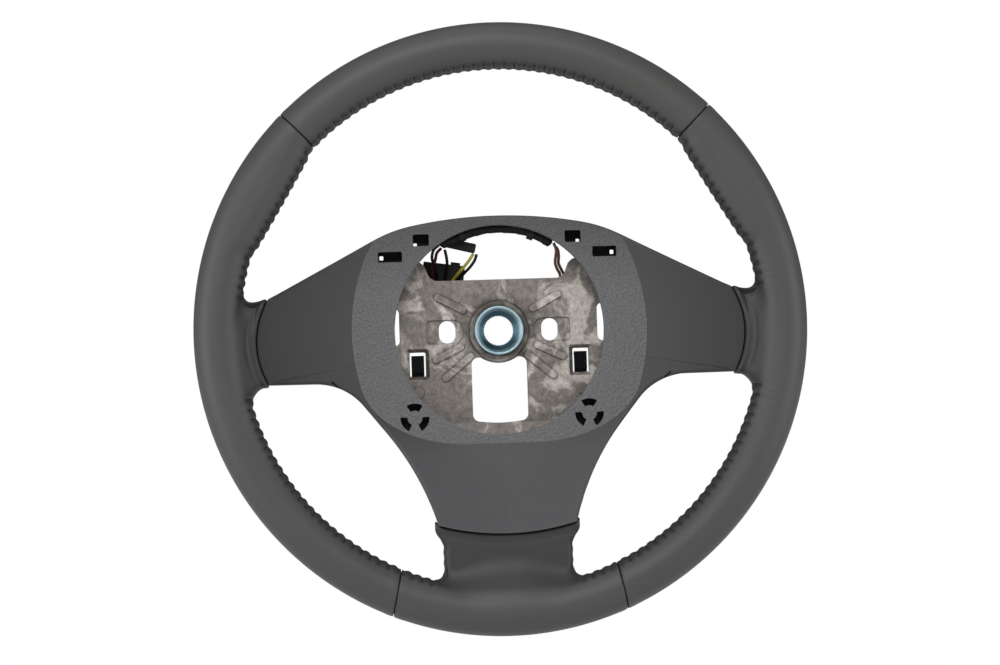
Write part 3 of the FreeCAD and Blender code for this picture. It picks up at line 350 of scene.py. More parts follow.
def riseOf(p):
    """Angle above the horizontal in degrees, the same right and left."""
    return np.degrees(np.arctan2(p[..., 2], np.abs(p[..., 0])))


def roundUnion(a, b, radius):
    """Union of two distances with a fillet: max(r, min(a, b)) - |(r - a, r - b) above zero|."""
    corner = np.hypot(np.maximum(radius - a, 0), np.maximum(radius - b, 0))
    return np.maximum(radius, np.minimum(a, b)) - corner


def roundCut(a, b, radius):
    """Intersection of two distances with a rounded edge, the fillet formula turned inside out."""
    return -roundUnion(-a, -b, radius)


def thumbShift(turn):
    """How far the section stretches inwards: the ring's radius less that of the swell's chord."""
    middle = (rim["upperSeam"] + rim["swellFrom"]) / 2
    half = math.radians(rim["upperSeam"] - rim["swellFrom"]) / 2
    away = np.radians(turn - middle)
    chord = rim["ring"] * math.cos(half) / np.cos(np.clip(away, -half, half))
    edge = smooth(half - np.abs(away), 0.0, rim["swellEase"])
    return np.maximum(rim["ring"] - chord, 0) * edge


def tubeField(p):
    """Distance to the rim: a ring whose section is a circle stretched inwards at the thumb swells."""
    radial = radiusOf(p) - rim["ring"]
    stretch = np.clip(-radial, 0, thumbShift(riseOf(p)))
    return np.hypot(radial + stretch, p[..., 1] + rim["forward"]) - rim["section"]


def tongueField(across, y, middle, half, root, reach):
    """Distance to a bar with rounded corners that runs out to the ring; its back falls into the rim."""
    back = root["back"] - rim["backFall"] * smooth(reach, root["reach"], rim["ring"] - rim["fallEnd"])
    midY = (root["front"] + back) / 2
    deep = (back - root["front"]) / 2
    corner = root["corner"]
    qy = np.abs(y - midY) - (deep - corner)
    qa = np.abs(across - middle) - (half - corner)
    bar = np.hypot(np.maximum(qy, 0), np.maximum(qa, 0)) + np.minimum(np.maximum(qy, qa), 0) - corner
    inFront = smooth(rim["halfPlane"] - y, -rim["halfBlend"], rim["halfBlend"])
    return np.maximum(bar, reach - rim["ring"] + rim["tongueEnd"] * inFront)


def filletAt(across, y, middle, half, root):
    """Fillet radius by place: faces use the front and back values, the edges their own."""
    midY = (root["front"] + root["back"]) / 2
    towardsFront = smooth(midY - y, -rim["filletDepth"], rim["filletDepth"])
    face = root["backFillet"] + (root["frontFillet"] - root["backFillet"]) * towardsFront
    share = np.clip((across - middle) / half, -1, 1)
    edge = np.where(share > 0, root["upperFillet"], root["lowerFillet"])
    return face + (edge - face) * smooth(np.abs(share), *rim["filletEdge"])


def sideEdges(p):
    """Middle and half width of the right root at each place: its edges fall slowly towards the rim, and
    swell in a bead behind the lip."""
    slope = sideRoot["fall"] * (p[..., 0] - sideRoot["fallFrom"])
    height, behind, width = sideRoot["bead"]
    bead = height * bell(sideLip(p), behind, width)
    top = sideRoot["top"] - slope + bead
    bottom = sideRoot["bottom"] - slope - bead
    return (top + bottom) / 2, (top - bottom) / 2


def rootedRim(p, across, middle, half, root, reach, lip):
    """Rim with a spoke root: tube and tongue joined by the fillet of each place, and cut off at the lip."""
    tongue = tongueField(across, p[..., 1], middle, half, root, reach)
    body = roundUnion(tubeField(p), tongue, filletAt(across, p[..., 1], middle, half, root))
    return roundCut(body, lip, rim["endRound"])


def sideField(p):
    """Right part of the rim with its spoke root, between its two seams."""
    body = rootedRim(p, p[..., 2], *sideEdges(p), sideRoot, p[..., 0], sideLip(p))
    return seamCut(body, p, -rim["lowerSeam"], rim["upperSeam"])


def lipX(z):
    """Bowed line of the right lip: reach less bow times the square of the share of the half height."""
    middle = (sideRoot["top"] + sideRoot["bottom"]) / 2
    half = (sideRoot["top"] - sideRoot["bottom"]) / 2
    return sideRoot["reach"] - sideRoot["bow"] * ((z - middle) / half) ** 2


def sideLip(p):
    """How far a point lies past the right lip, towards the hub."""
    return lipX(p[..., 2]) - p[..., 0]


def lowHalf(z):
    """Half width of the lower root: its neck, flared towards the lip."""
    return lowRoot["neck"] + (lowRoot["half"] - lowRoot["neck"]) * smooth(z, *lowRoot["flare"])


def lowField(p):
    """Lower part of the rim with its spoke root, between its two seams."""
    body = rootedRim(p, p[..., 0], 0, lowHalf(p[..., 2]), lowRoot, -p[..., 2], lowLip(p))
    return seamCut(body, p, rim["lowerSeam"] - 180, -rim["lowerSeam"])


def lowLipZ(x):
    """Bowed line of the lower lip, as a height below the hub."""
    return lowRoot["reach"] - lowRoot["bow"] * (x / lowRoot["half"]) ** 2


def lowLip(p):
    """How far a point lies past the lower lip, towards the hub; the lip's ends stand up as small ears."""
    ears = lowRoot["ear"] * smooth(np.abs(p[..., 0]), *lowRoot["earAt"])
    return lowLipZ(p[..., 0]) + p[..., 2] - ears


def topField(p):
    return seamCut(tubeField(p), p, rim["upperSeam"], 180 - rim["upperSeam"])


def seamLean(p):
    """How far a lower seam has leaned aside: a share of the depth below the rim's outer edge."""
    return np.where(p[..., 2] < 0, rim["lowSeamLean"], 0) * (rim["ring"] + rim["section"] - radiusOf(p))


def seamCut(body, p, start, end):
    """Body between two angles, ends rounded: distance past a seam is radius times sine of the angle past."""
    middle = math.radians(start + end) / 2
    half = math.radians(end - start) / 2
    away = np.abs(wrapped(turnOf(p) - middle))
    lean = seamLean(p) if start < 0 and end < 0 else -seamLean(p)
    past = radiusOf(p) * np.sin(np.clip(away - half, -0.5, 0.5)) - lean + rim["seamGap"] / 2
    return roundCut(body, past, rim["seamRound"])


def fieldNormal(field, p):
    """Unit gradient of a field by central differences."""
    shifts = np.eye(3) * 0.05
    gradient = np.stack([field(p + shift) - field(p - shift) for shift in shifts], -1)
    return gradient / np.maximum(np.linalg.norm(gradient, axis=-1, keepdims=True), 1e-9)


def netSurface(field, low, high, cell):
    """Closed surface of a field's zero: in each crossed cell of a grid a point, the mean of its edges'
    crossings, round each crossed edge a quad; then the points move along the gradient onto the zero."""
    axes = [np.arange(a, b + cell, cell) for a, b in zip(low, high)]
    value = field(np.stack(np.meshgrid(*axes, indexing="ij"), -1))
    shape = np.array(value.shape) - 1
    size = int(np.prod(shape))
    total, count, quads, onward = np.zeros((size, 3)), np.zeros(size), [], np.eye(3, dtype=int)
    for axis in range(3):
        inside = np.moveaxis(value, axis, 0) < 0
        edge = np.argwhere(np.moveaxis(inside[:-1] != inside[1:], 0, axis))
        after = edge + onward[axis]
        before, behind = value[tuple(edge.T)], value[tuple(after.T)]
        place = edge.astype(float)
        place[:, axis] += before / (before - behind)
        b, c = (axis + 1) % 3, (axis + 2) % 3
        corners = []
        for stepB, stepC in ((1, 1), (0, 1), (0, 0), (1, 0)):
            cellAt = edge - stepB * onward[b] - stepC * onward[c]
            flat = np.ravel_multi_index(tuple(cellAt.T), shape)
            corners.append(flat)
            count += np.bincount(flat, minlength=size)
            for k in range(3):
                total[:, k] += np.bincount(flat, weights=place[:, k], minlength=size)
        quad = np.stack(corners, -1)
        quads.append(np.where((before < 0)[:, None], quad, quad[:, ::-1]))
    used = count > 0
    number = np.cumsum(used) - 1
    points = np.array(low) + total[used] / count[used][:, None] * cell
    for _ in range(4):
        away = field(points)
        points = points - np.clip(away, -cell, cell)[:, None] * fieldNormal(field, points) * 0.9
    return points, number[np.concatenate(quads)]


def stitchWindow(turn, part):
    """1 where the inner edge is stitched, fading out at the spoke roots."""
    def past(angle, start):
        return smooth(angle, start - stitch["fade"], start)
    if part == "side":
        return past(turn, stitch["sideTop"]) + past(-turn, -stitch["sideBottom"])
    return past(np.abs(turn + 90), stitch["low"]) if part == "low" else np.ones_like(turn)


def stitchPitch():
    """Angle from thread to thread: the pitch over the radius on which the threads lie."""
    return stitch["pitch"] / (rim["ring"] - rim["section"] + stitch["inset"])


def aroundSection(p):
    """Angle in degrees round the section from the innermost point towards the driver."""
    inward = rim["ring"] - thumbShift(riseOf(p)) - radiusOf(p)
    return np.degrees(np.arctan2(-(p[..., 1] + rim["forward"]), inward))


def stitchRelief(p, turn, around, part):
    """Height and shade of the stitched edge: a groove at each thread, holes at its ends, a crease where the
    edges meet. The phase counts stitches from the top."""
    phase = np.radians(turn - 90) / stitchPitch()
    apart = (phase - np.round(phase)) * stitch["pitch"]
    aside = np.abs(around - stitch["middle"])
    first, last = stitch["ends"]
    inZone = 1 - smooth(aside, stitch["half"] + first, stitch["half"] + last)
    groove = bell(apart, 0, stitch["grooveWidth"]) * inZone
    arc = np.radians(aside - stitch["half"]) * rim["section"]
    hole = np.exp(-(apart ** 2 + arc ** 2) / stitch["holeWidth"] ** 2)
    crease = bell(np.radians(aside) * rim["section"], 0, stitch["creaseWidth"]) * stitch["crease"]
    pucker = (0.5 - 0.5 * np.cos(2 * math.pi * phase)) * (1 - smooth(aside, *stitch["puckerEnds"]))
    window = stitchWindow(turn, part)
    # Painted shade: the holes, grooves and crease are darkened in colour.
    shade = np.clip(1.2 * hole + 0.1 * groove + crease, 0, 1)
    height = stitch["pucker"] * pucker - stitch["groove"] * groove - stitch["hole"] * hole - crease
    return height * window, shade * window


def raised(value, name):
    """Bell of one relief's height, at its place and of its width."""
    height, place, width = relief[name]
    return height * bell(value, place, width)


def seamRelief(away):
    """Panel ends: drawn down towards the seam, with a faint swell behind."""
    return raised(away, "seamSwell") - raised(away, "seamDip")


def lipRelief(distance, front):
    """Rolled leather edge beside the cover: a bead, then a shallow valley."""
    return (raised(distance, "lipBead") - raised(distance, "lipValley")) * front


def wrinkles(p, turn):
    """Faint stretch folds that run from the fillets into the roots."""
    wave = np.sin(p[..., 2] * 1.35 + 0.25 * p[..., 0] + 1.1 * np.sin(p[..., 0] * 0.33))
    near = raised(turn, "upperFolds") + raised(turn, "lowerFolds")
    return wave * near * smooth(rim["ring"] - radiusOf(p), -4, 6)


def seamDistance(p, seams):
    """Distance from the nearest seam, measured along the arc."""
    aside = np.sign(p[..., 0]) * seamLean(p)
    gaps = [np.abs(wrapped(turnOf(p) - math.radians(seam)) * radiusOf(p) - aside) for seam in seams]
    return np.min(gaps, 0)


def neckRelief(p, normal):
    """Light puckers along the lower neck's sides, where the leather is laced together."""
    along = smooth(p[..., 2], -160, -148) * smooth(-p[..., 2], 123, 130)
    side = smooth(np.abs(normal[..., 0]), 0.5, 0.9) * along
    return relief["neck"] * side * np.cos(2 * math.pi * p[..., 2] / stitch["pitch"])


panelFields = {"side": sideField, "low": lowField, "top": topField}


def leatherPanel(name, part, seams, low, high, mirrored=False):
    """One leather panel as a closed form round its foam, with its relief laid along the surface's normal."""
    p, faces = netSurface(panelFields[part], low, high, rim["cell"])
    normal = fieldNormal(panelFields[part], p)
    turn = np.degrees(turnOf(p))
    around = aroundSection(p)
    seam = seamDistance(p, seams)
    sewable = smooth(seam, 0.0, rim["seamEase"]) * (1 - smooth(tubeField(p), *rim["rootEase"]))
    sewn, shade = stitchRelief(p, turn, around, part)
    height = seamRelief(seam) + sewn * sewable
    shade = np.maximum(shade * sewable, np.exp(-(seam / rim["seamShade"]) ** 2))
    front = smooth(-normal[..., 1], *rim["facing"])
    if part == "side":
        height += lipRelief(-sideLip(p), front) + wrinkles(p, turn)
    if part == "low":
        height += lowRoot["lipShare"] * lipRelief(-lowLip(p), front) + neckRelief(p, normal)
    p = p + normal * height[..., None]
    if mirrored:
        p = p * np.array([-1, 1, 1])
        faces = faces[:, ::-1]
    # Painted shade on the inner side of the section, full at the stitched middle and fading round it.
    innerShade = 1 - smooth(np.abs(around - stitch["middle"]), *rim["innerShade"])
    piece = makePiece(name, p, faces, attributes={"inner": innerShade, "seam": shade})
    print("leather", name, "faces", len(piece.data.polygons))
    return piece


def threadArcs(part, start, end, mirrored):
    """Sewing thread: one short tube per stitch over the section's arc, drawn onto the leather's surface."""
    field, turns = panelFields[part], stitchTurns(start, end)
    steps = np.linspace(-1, 1, stitch["steps"])
    rounds = np.linspace(0, 2 * math.pi, stitch["sides"] + 1)[:-1]
    around = np.radians(stitch["middle"] + steps * (stitch["half"] + 1.5))[None, :]
    ringRadius = rim["ring"] - thumbShift(turns)[:, None]
    radius = ringRadius - rim["section"] * np.cos(around)
    angle = np.radians(turns)[:, None] + steps[None, :] * stitch["slant"] / radius
    p = np.stack([radius * np.cos(angle), -rim["forward"] - rim["section"] * np.sin(around) + 0 * angle,
                  radius * np.sin(angle)], -1)
    for _ in range(6):
        p = p - field(p)[..., None] * fieldNormal(field, p) * 0.8
    normal = fieldNormal(field, p)
    along = np.gradient(p, axis=1)
    sideways = np.cross(unit(along), normal)
    sink = (stitch["sink"] + stitch["dive"] * np.abs(steps) ** 6)[None, :, None]
    core = p - normal * sink
    tube = core[:, :, None] + stitch["thread"] * (np.cos(rounds)[:, None] * normal[:, :, None]
                                                  + np.sin(rounds)[:, None] * sideways[:, :, None])
    if mirrored:
        tube = tube * np.array([-1, 1, 1])
    one = gridFaces(len(steps), len(rounds), wrapColumns=True, flip=not mirrored)
    starts = np.arange(len(turns)) * len(steps) * len(rounds)
    return tube.reshape(-1, 3), (one[None] + starts[:, None, None]).reshape(-1, 4)


def stitchTurns(start, end):
    """Angles in degrees of the threads between two places, from whole stitch counts."""
    pitch = math.degrees(stitchPitch())
    counts = np.arange(math.ceil((start - 90) / pitch), math.floor((end - 90) / pitch) + 1)
    return 90 + counts * pitch


def rimThread():
    """All threads as one piece; none comes nearer to a panel's seam than the margin in degrees."""
    upper, lower, margin = rim["upperSeam"], rim["lowerSeam"], stitch["margin"]
    spans = [("side", stitch["sideTop"] - 0.8, upper - margin),
             ("side", margin - lower, stitch["sideBottom"] + 0.8),
             ("low", stitch["low"] - 90.5, -lower - margin)]
    parts = [threadArcs("top", upper + margin, 180 - upper - margin, False)]
    parts += [threadArcs(*span, mirrored) for mirrored in (False, True) for span in spans]
    starts = np.cumsum([0] + [len(points) for points, _ in parts])
    points = np.concatenate([points for points, _ in parts])
    faces = np.concatenate([quads + start for (_, quads), start in zip(parts, starts)])
    piece = makePiece("rim_thread", points, faces)
    print("thread stitches", len(points) // (stitch["steps"] * stitch["sides"]))
    return piece


leather = leatherMaterial()
upper, lower = rim["upperSeam"], rim["lowerSeam"]
sideLow, sideHigh = (60, -69, -180), (191, -30, 136)
panels = {
    "leather_top": leatherPanel("rimTop", "top", (upper, 180 - upper), (-136, -69, 106), (136, -35, 190)),
    "leather_right": leatherPanel("rimRight", "side", (-lower, upper), sideLow, sideHigh),
    "leather_left": leatherPanel("rimLeft", "side", (-lower, upper), sideLow, sideHigh, mirrored=True),
    "leather_bottom": leatherPanel("rimBottom", "low", (lower - 180, -lower), (-76, -69, -190),
                                   (76, -30, -110)),
}
for nodeName, panel in panels.items():
    panel.data.materials.append(leather)
    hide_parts(nodeName)
thread = rimThread()
thread.data.materials.append(plasticMaterial("darkThread", "#1b1b1b", "#2d2d2c", 0.6, 0.4, 0.4))


# Spoke cover: a face with a crease, from the round opening to the outline and down into the skirt

cover = {
    "plateau": 22.0, "creaseReach": 92.0, "creaseRadius": 120.0, "lowCrease": 70.5, "endFront": 50.3,
    "archHeight": 71.5, "archRadius": 276.0, "archHalf": 51.9, "shoulderX": 66.5, "shoulderRoom": 0.94,
    "armpit": (97.5, -30.6, 38.0), "waist": (53.2, -86.0, 170.0), "lowEnd": (37.4, -133.6),
    "gap": 0.55, "opening": 65.3, "openingRound": 0.5, "collar": 4.9, "edge": 2.3, "lipEdge": 0.5,
    "wall": 2.0, "hubBack": 3.0, "spokeSkirt": 11.0, "step": 1.0, "rowsIn": 22, "rowsOut": 30,
    "raySteps": 400, "zoneX": 103.0, "zoneZ": -86.0, "creaseCorner": 34.0,
    "slit": (99.2, -34.6, 8.0, 0.9, 0.72), "slitDepth": 1.0, "slot": (66.9, 47.2, 15.0, 6.5),
    "square": (47.4, 57.2, 10.0, 7.3), "disc": (54.4, -53.3, 4.6, 9.0, 34.0),
    "mouthRound": 0.9, "mouthCut": (-30, -16), "sharp": 32,
}


def archLine(x):
    """Tangent that leaves the arch at its end: height there plus slope times what is left."""
    drop = math.sqrt(cover["archRadius"] ** 2 - cover["archHalf"] ** 2)
    ends = cover["archHeight"] - cover["archRadius"] + drop
    return ends + (cover["archHalf"] - x) * cover["archHalf"] / drop


def roundCorner(before, corner, after, radius):
    """Arc that touches both sides of a corner, its centre on the bisector at radius / sin(half angle)."""
    before, corner, after = (np.array(v, float) for v in (before, corner, after))
    back, on = unit(before - corner), unit(after - corner)
    half = math.acos(float(back @ on)) / 2
    centre = corner + unit(back + on) * radius / math.sin(half)
    start = corner + back * radius / math.tan(half) - centre
    end = corner + on * radius / math.tan(half) - centre
    first = math.atan2(start[1], start[0])
    turn = wrapped(math.atan2(end[1], end[0]) - first)
    angles = first + turn * np.linspace(0, 1, max(4, int(abs(turn) * radius / cover["step"])))
    return centre + radius * np.stack([np.cos(angles), np.sin(angles)], -1)


def evenly(line, step):
    """Line through the same corners with each run divided into equal parts of about one step."""
    line = line[np.concatenate([[True], np.linalg.norm(np.diff(line, axis=0), axis=1) > 0.15])]
    runs = np.linalg.norm(np.diff(line, axis=0), axis=1)
    total = np.concatenate([[0], np.cumsum(runs)])
    parts = [a + (b - a) * np.linspace(0, 1, max(1, round(run / step)) + 1)[:-1]
             for a, b, run in zip(total[:-1], total[1:], runs)]
    places = np.concatenate(parts + [total[-1:]])
    return np.stack([np.interp(places, total, line[:, k]) for k in (0, 1)], -1)


def coverOutline():
    """Silhouette: arch, shoulder, lip, armpit, waist and lower lip on the right, then their mirror image."""
    angle = np.linspace(0, math.asin(cover["archHalf"] / cover["archRadius"]), 50)
    centreZ = cover["archHeight"] - cover["archRadius"]
    arch = np.stack([np.sin(angle), np.cos(angle)], -1) * cover["archRadius"] + [0, centreZ]
    shoulder = (cover["shoulderX"], archLine(cover["shoulderX"]))
    lipEnd = sideRoot["reach"] - sideRoot["bow"]
    slope = (shoulder[1] - sideRoot["top"] - 0.3) / (lipEnd - shoulder[0])
    topEnd = (lipEnd - 0.8, shoulder[1] - slope * (lipEnd - 0.8 - shoulder[0]))
    z = np.linspace(topEnd[1], cover["armpit"][1], 54)
    lip = np.stack([lipX(z) - cover["gap"], z], -1)
    archSlope = archLine(0) - archLine(1)
    turn = math.atan(slope) - math.atan(archSlope)
    room = (cover["shoulderX"] - cover["archHalf"]) * math.hypot(1, archSlope) * cover["shoulderRoom"]
    shoulderArc = roundCorner(arch[-1], shoulder, topEnd, room / math.tan(turn / 2))
    armpit, waist = cover["armpit"], cover["waist"]
    armpitArc = roundCorner(lip[-1], armpit[:2], waist[:2], armpit[2])
    waistArc = roundCorner(armpit[:2], waist[:2], cover["lowEnd"], waist[2])
    x = np.linspace(42.2, 0, 44)
    lowLine = np.stack([x, cover["gap"] - lowLipZ(x)], -1)
    right = evenly(np.concatenate([arch, shoulderArc, lip, armpitArc, waistArc, lowLine]), cover["step"])
    return np.concatenate([right, right[-2:0:-1] * [-1, 1]])


def creaseDistance(x, z):
    """How far outside the plateau a place lies: a circle at each side and a straight line below, their
    corner rounded."""
    centre = cover["creaseReach"] - cover["creaseRadius"]
    side = np.hypot(np.abs(x) - centre, z) - cover["creaseRadius"]
    return roundCut(side, -z - cover["lowCrease"], cover["creaseCorner"])


def faceDepth(x, z):
    """Front of the cover: flat plateau, then spokes that climb straight from the crease to the lips."""
    climb = cover["endFront"] - cover["plateau"]
    low = smooth(-z - np.abs(x) * 0.7, 0, 40)
    reach = sideRoot["reach"] - cover["creaseReach"]
    reach = reach + low * (lowRoot["reach"] - cover["lowCrease"] - reach)
    return -cover["plateau"] - np.maximum(creaseDistance(x, z), 0) * climb / reach


def ringAt(place, depth):
    """Row of points at plane places and a depth."""
    return np.stack([place[..., 0], depth + 0 * place[..., 0], place[..., 1]], -1)


def outwardOf(outline):
    """Unit normals of a closed outline: its direction over seven neighbours, turned by a right angle."""
    along = unit(sum(np.roll(outline, -k, 0) - np.roll(outline, k, 0) for k in (1, 2, 3)))
    return np.stack([-along[:, 1], along[:, 0]], -1)


def edgeRadius(outline):
    """Radius of the rolled edge by place: small along the leather's lips, full elsewhere."""
    x, z = np.abs(outline[:, 0]), outline[:, 1]
    lips = np.minimum(np.abs(cover["gap"] - lipX(z) + x), np.abs(z - cover["gap"] + lowLipZ(x)))
    return cover["lipEdge"] + (cover["edge"] - cover["lipEdge"]) * smooth(lips, 0.1, 4.0)[:, None]


def faceShares(start, end):
    """Rows over the face as shares of the way out, laid so that one row follows the crease."""
    last = cover["raySteps"] - 1
    ray = start + (end - start) * np.linspace(0, 1, last + 1)[:, None, None]
    outside = creaseDistance(ray[..., 0], ray[..., 1]) > 0
    crease = np.clip(np.where(outside.any(0), outside.argmax(0), last) / last, 0.05, 0.97)[:, None]
    inner = np.linspace(0, 1, cover["rowsIn"])[:, None, None] * (crease - 0.001)
    outer = crease + (1 - crease) * np.linspace(0, 1, cover["rowsOut"])[:, None, None]
    return np.concatenate([inner, outer])


def onFace(place, behind=0):
    """Row of points on the face, or this far behind it."""
    return ringAt(place, faceDepth(place[..., 0], place[..., 1]) + behind)


def coverGrid():
    """Closed grid round the moulding's wall: columns follow the outline, rows run from the collar over face
    and rolled edge down the skirt, and back inside, one wall behind."""
    outline, wall = coverOutline(), cover["wall"]
    outward, edge, direction = outwardOf(outline), edgeRadius(outline), unit(outline)
    start = direction * (cover["opening"] + cover["openingRound"])
    end = outline - outward * edge
    shares = faceShares(start, end)
    bend = np.linspace(0, math.pi / 2, 7)[1:, None, None]
    rolled = onFace(end + outward * edge * np.sin(bend), (edge * (1 - np.cos(bend)))[..., 0])
    hub = (np.abs(outline[:, 0]) < cover["zoneX"]) & (outline[:, 1] > cover["zoneZ"])
    edgeDepth = faceDepth(outline[:, 0], outline[:, 1])
    back = np.where(hub, -cover["hubBack"], edgeDepth + cover["spokeSkirt"])
    down = np.linspace(0, 1, 5)[1:, None]
    skirt = ringAt(outline + 0 * down[..., None], rolled[-1, :, 1] + (back - rolled[-1, :, 1]) * down)
    within = outline - outward * wall
    up = np.linspace(1, 0, 4)[:, None]
    innerSkirt = ringAt(within + 0 * up[..., None], edgeDepth + wall + (back - edgeDepth - wall) * up)
    throat = direction * (cover["opening"] + wall)
    behind = onFace(within + (throat - within) * (1 - shares[::-3]), wall)
    foot = cover["collar"] - cover["plateau"]
    bend = np.linspace(math.pi / 2, 0, 5)[:-1, None, None]
    lipIn = direction * (cover["opening"] + cover["openingRound"] * (1 - np.sin(bend)))
    lipIn = ringAt(lipIn, cover["openingRound"] * (1 - np.cos(bend))[..., 0] - cover["plateau"])
    return np.concatenate([ringAt(direction * cover["opening"], foot)[None], lipIn,
                           onFace(start + (end - start) * shares), rolled, skirt, innerSkirt, behind[1:],
                           ringAt(throat, foot)[None]])


def prismMesh(outlines, yFrom, yTo):
    """Closed prisms over plane outlines: two rings of points, side quads and two end faces each."""
    points, faces, start = [], [], 0
    for outline in outlines:
        count = len(outline)
        points += [ringAt(outline, yFrom), ringAt(outline, yTo)]
        ring = np.arange(count) + start
        after = np.roll(ring, -1)
        faces += np.stack([ring, ring + count, after + count, after], -1).tolist()
        faces += [ring.tolist(), (ring[::-1] + count).tolist()]
        start += 2 * count
    return np.concatenate(points), faces


def roundedBox(x, z, width, height, radius):
    """Outline of an upright rectangle with rounded corners, counter-clockwise to the driver."""
    signs = np.array([(1, -1), (1, 1), (-1, 1), (-1, -1)])
    centres = np.array([x, z]) + signs * (np.array([width, height]) / 2 - radius)
    angles = np.linspace(0, math.pi / 2, 5) + np.arange(-1, 3)[:, None] * math.pi / 2
    arcs = radius * np.stack([np.cos(angles), np.sin(angles)], -1)
    return (centres[:, None] + arcs).reshape(-1, 2)


def arcSlot(x, z, inner, outer, middle, half):
    """Outline of a slot between two arcs round a disc."""
    angles = np.radians(np.linspace(middle - half, middle + half, 12))
    unit = np.stack([np.cos(angles), np.sin(angles)], -1)
    return np.array([x, z]) + np.concatenate([unit * outer, unit[::-1] * inner])


def leftOf(outline):
    """Mirror image of an outline on the right, wound the same way."""
    return outline[::-1] * [-1, 1]


def coverMouths():
    """Outlines of the slots, squares and arc slots, right and left."""
    discX, discZ, inner, outer, half = cover["disc"]
    right = [roundedBox(*cover[mouth], cover["mouthRound"]) for mouth in ("slot", "square")]
    right += [arcSlot(discX, discZ, inner, outer, middle, half) for middle in (90, 210, 330)]
    return right + [leftOf(outline) for outline in right]


def cutBy(piece, points, faces):
    """Takes a closed mesh in mm away from a piece by a Boolean, and clears the slots that it adds."""
    cutter = addObject("cutter", newMesh("cutter", points, faces))
    cut = piece.modifiers.new("cut", "BOOLEAN")
    cut.object, cut.operation, cut.solver = cutter, "DIFFERENCE", "MANIFOLD"
    graph = bpy.context.evaluated_depsgraph_get()
    mesh = bpy.data.meshes.new_from_object(piece.evaluated_get(graph), preserve_all_data_layers=True,
                                           depsgraph=graph)
    piece.modifiers.clear()
    piece.data = mesh
    bpy.data.objects.remove(cutter)
    mesh.materials.clear()


def makeCover():
    """Moulding with its mouths cut through and a short slit engraved at each armpit."""
    grid = coverGrid()
    faces = gridFaces(*grid.shape[:2], wrapRows=True, wrapColumns=True, flip=True)
    piece = makePiece("spokeCover", grid.reshape(-1, 3), faces)
    cutBy(piece, *prismMesh(coverMouths(), *cover["mouthCut"]))
    x, z, length, width, turn = cover["slit"]
    along = np.array([math.cos(turn), math.sin(turn)]) * length
    across = np.array([-math.sin(turn), math.cos(turn)]) * width / 2
    foot = np.array([x, z])
    slit = np.stack([foot - across, foot + along - across, foot + along + across, foot + across])
    cutBy(piece, *prismMesh([slit, leftOf(slit)], -40, float(faceDepth(*foot)) + cover["slitDepth"]))
    piece.data.set_sharp_from_angle(angle=math.radians(cover["sharp"]))
    print("cover faces", len(piece.data.polygons), "dimensions", [round(v, 4) for v in piece.dimensions])
    return piece


def openBox(outline, inset, yFrom, yTo, floor):
    """Thin-walled blind box as one closed mesh."""
    centre = outline.mean(0)
    size = np.abs(outline - centre).max(0)
    inside = centre + (outline - centre) * (1 - inset / size)
    count = len(outline)
    points = np.concatenate([ringAt(outline, yTo), ringAt(outline, yFrom), ringAt(inside, yFrom),
                             ringAt(inside, yTo - floor)])
    faces = gridFaces(4, count, wrapColumns=True, flip=True).tolist()
    faces += [list(range(count))[::-1], (np.arange(count) + 3 * count).tolist()]
    return points, faces


snap = {"over": 2.2, "round": 1.4, "wall": 1.0, "clear": 0.05, "deep": (8.0, 8.0, 6.0),
        "slotPin": (5.4, 0.0, 2.4, 2.6, 0.5), "squarePin": (3.6, -2.3, 2.2, 2.2, 0.5), "pinCut": (-2, 4)}


def snapBoxes():
    """Clip boxes behind the slots and squares, each with a pin hole, and cups behind the discs; their near
    black is partly their own black plastic and partly painted shade for the deep pockets.
    """
    front = -cover["plateau"] + cover["wall"] + snap["clear"]
    turn = np.linspace(0, 2 * math.pi, 41)[:-1]
    discX, discZ, _, discOuter, _ = cover["disc"]
    cup = np.array([discX, discZ]) + (discOuter + snap["round"]) * np.stack([np.cos(turn), np.sin(turn)], -1)
    outlines, pins = [], []
    for mouth, pin in (("slot", snap["slotPin"]), ("square", snap["squarePin"])):
        x, z, width, height = cover[mouth]
        outlines.append(roundedBox(x, z, width + snap["over"], height + snap["over"], snap["round"]))
        pins.append(roundedBox(x + pin[0], z + pin[1], *pin[2:]))
    made = []
    for side, place in (("right", np.array), ("left", leftOf)):
        for number, outline in enumerate(outlines + [cup]):
            floor = front + snap["deep"][number]
            box = openBox(place(outline), snap["wall"], front, floor + snap["wall"], snap["wall"])
            piece = makePiece("snapBox_%d_%s" % (number, side), *box, shadeSmooth=False)
            if number < len(pins):
                cutBy(piece, *prismMesh([place(pins[number])], *(floor + cut for cut in snap["pinCut"])))
            made.append(piece)
    print("clip boxes and cups", len(made))
    return made


coverPiece = makeCover()
coverPiece.data.materials.append(coverMaterial())
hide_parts("front_cover")
# Near-black boxes: black plastic and painted shade of the pockets behind the mouths.
boxBlackAndShade = plasticMaterial("clipBoxBlackAndShade", "#0a0a0b", "#101011", 0.6, 0.8, 0.2)
for box in snapBoxes():
    box.data.materials.append(boxBlackAndShade)


# Taped bundle behind the cover's upper edge

bundle = {
    "arc": 64.2, "depth": 12.0, "radius": 3.1, "half": 33.0, "lap": 9.0, "step": 0.32, "lump": 0.16,
    "wander": 0.35, "endRound": 1.2, "rows": 190, "sides": 32,
}


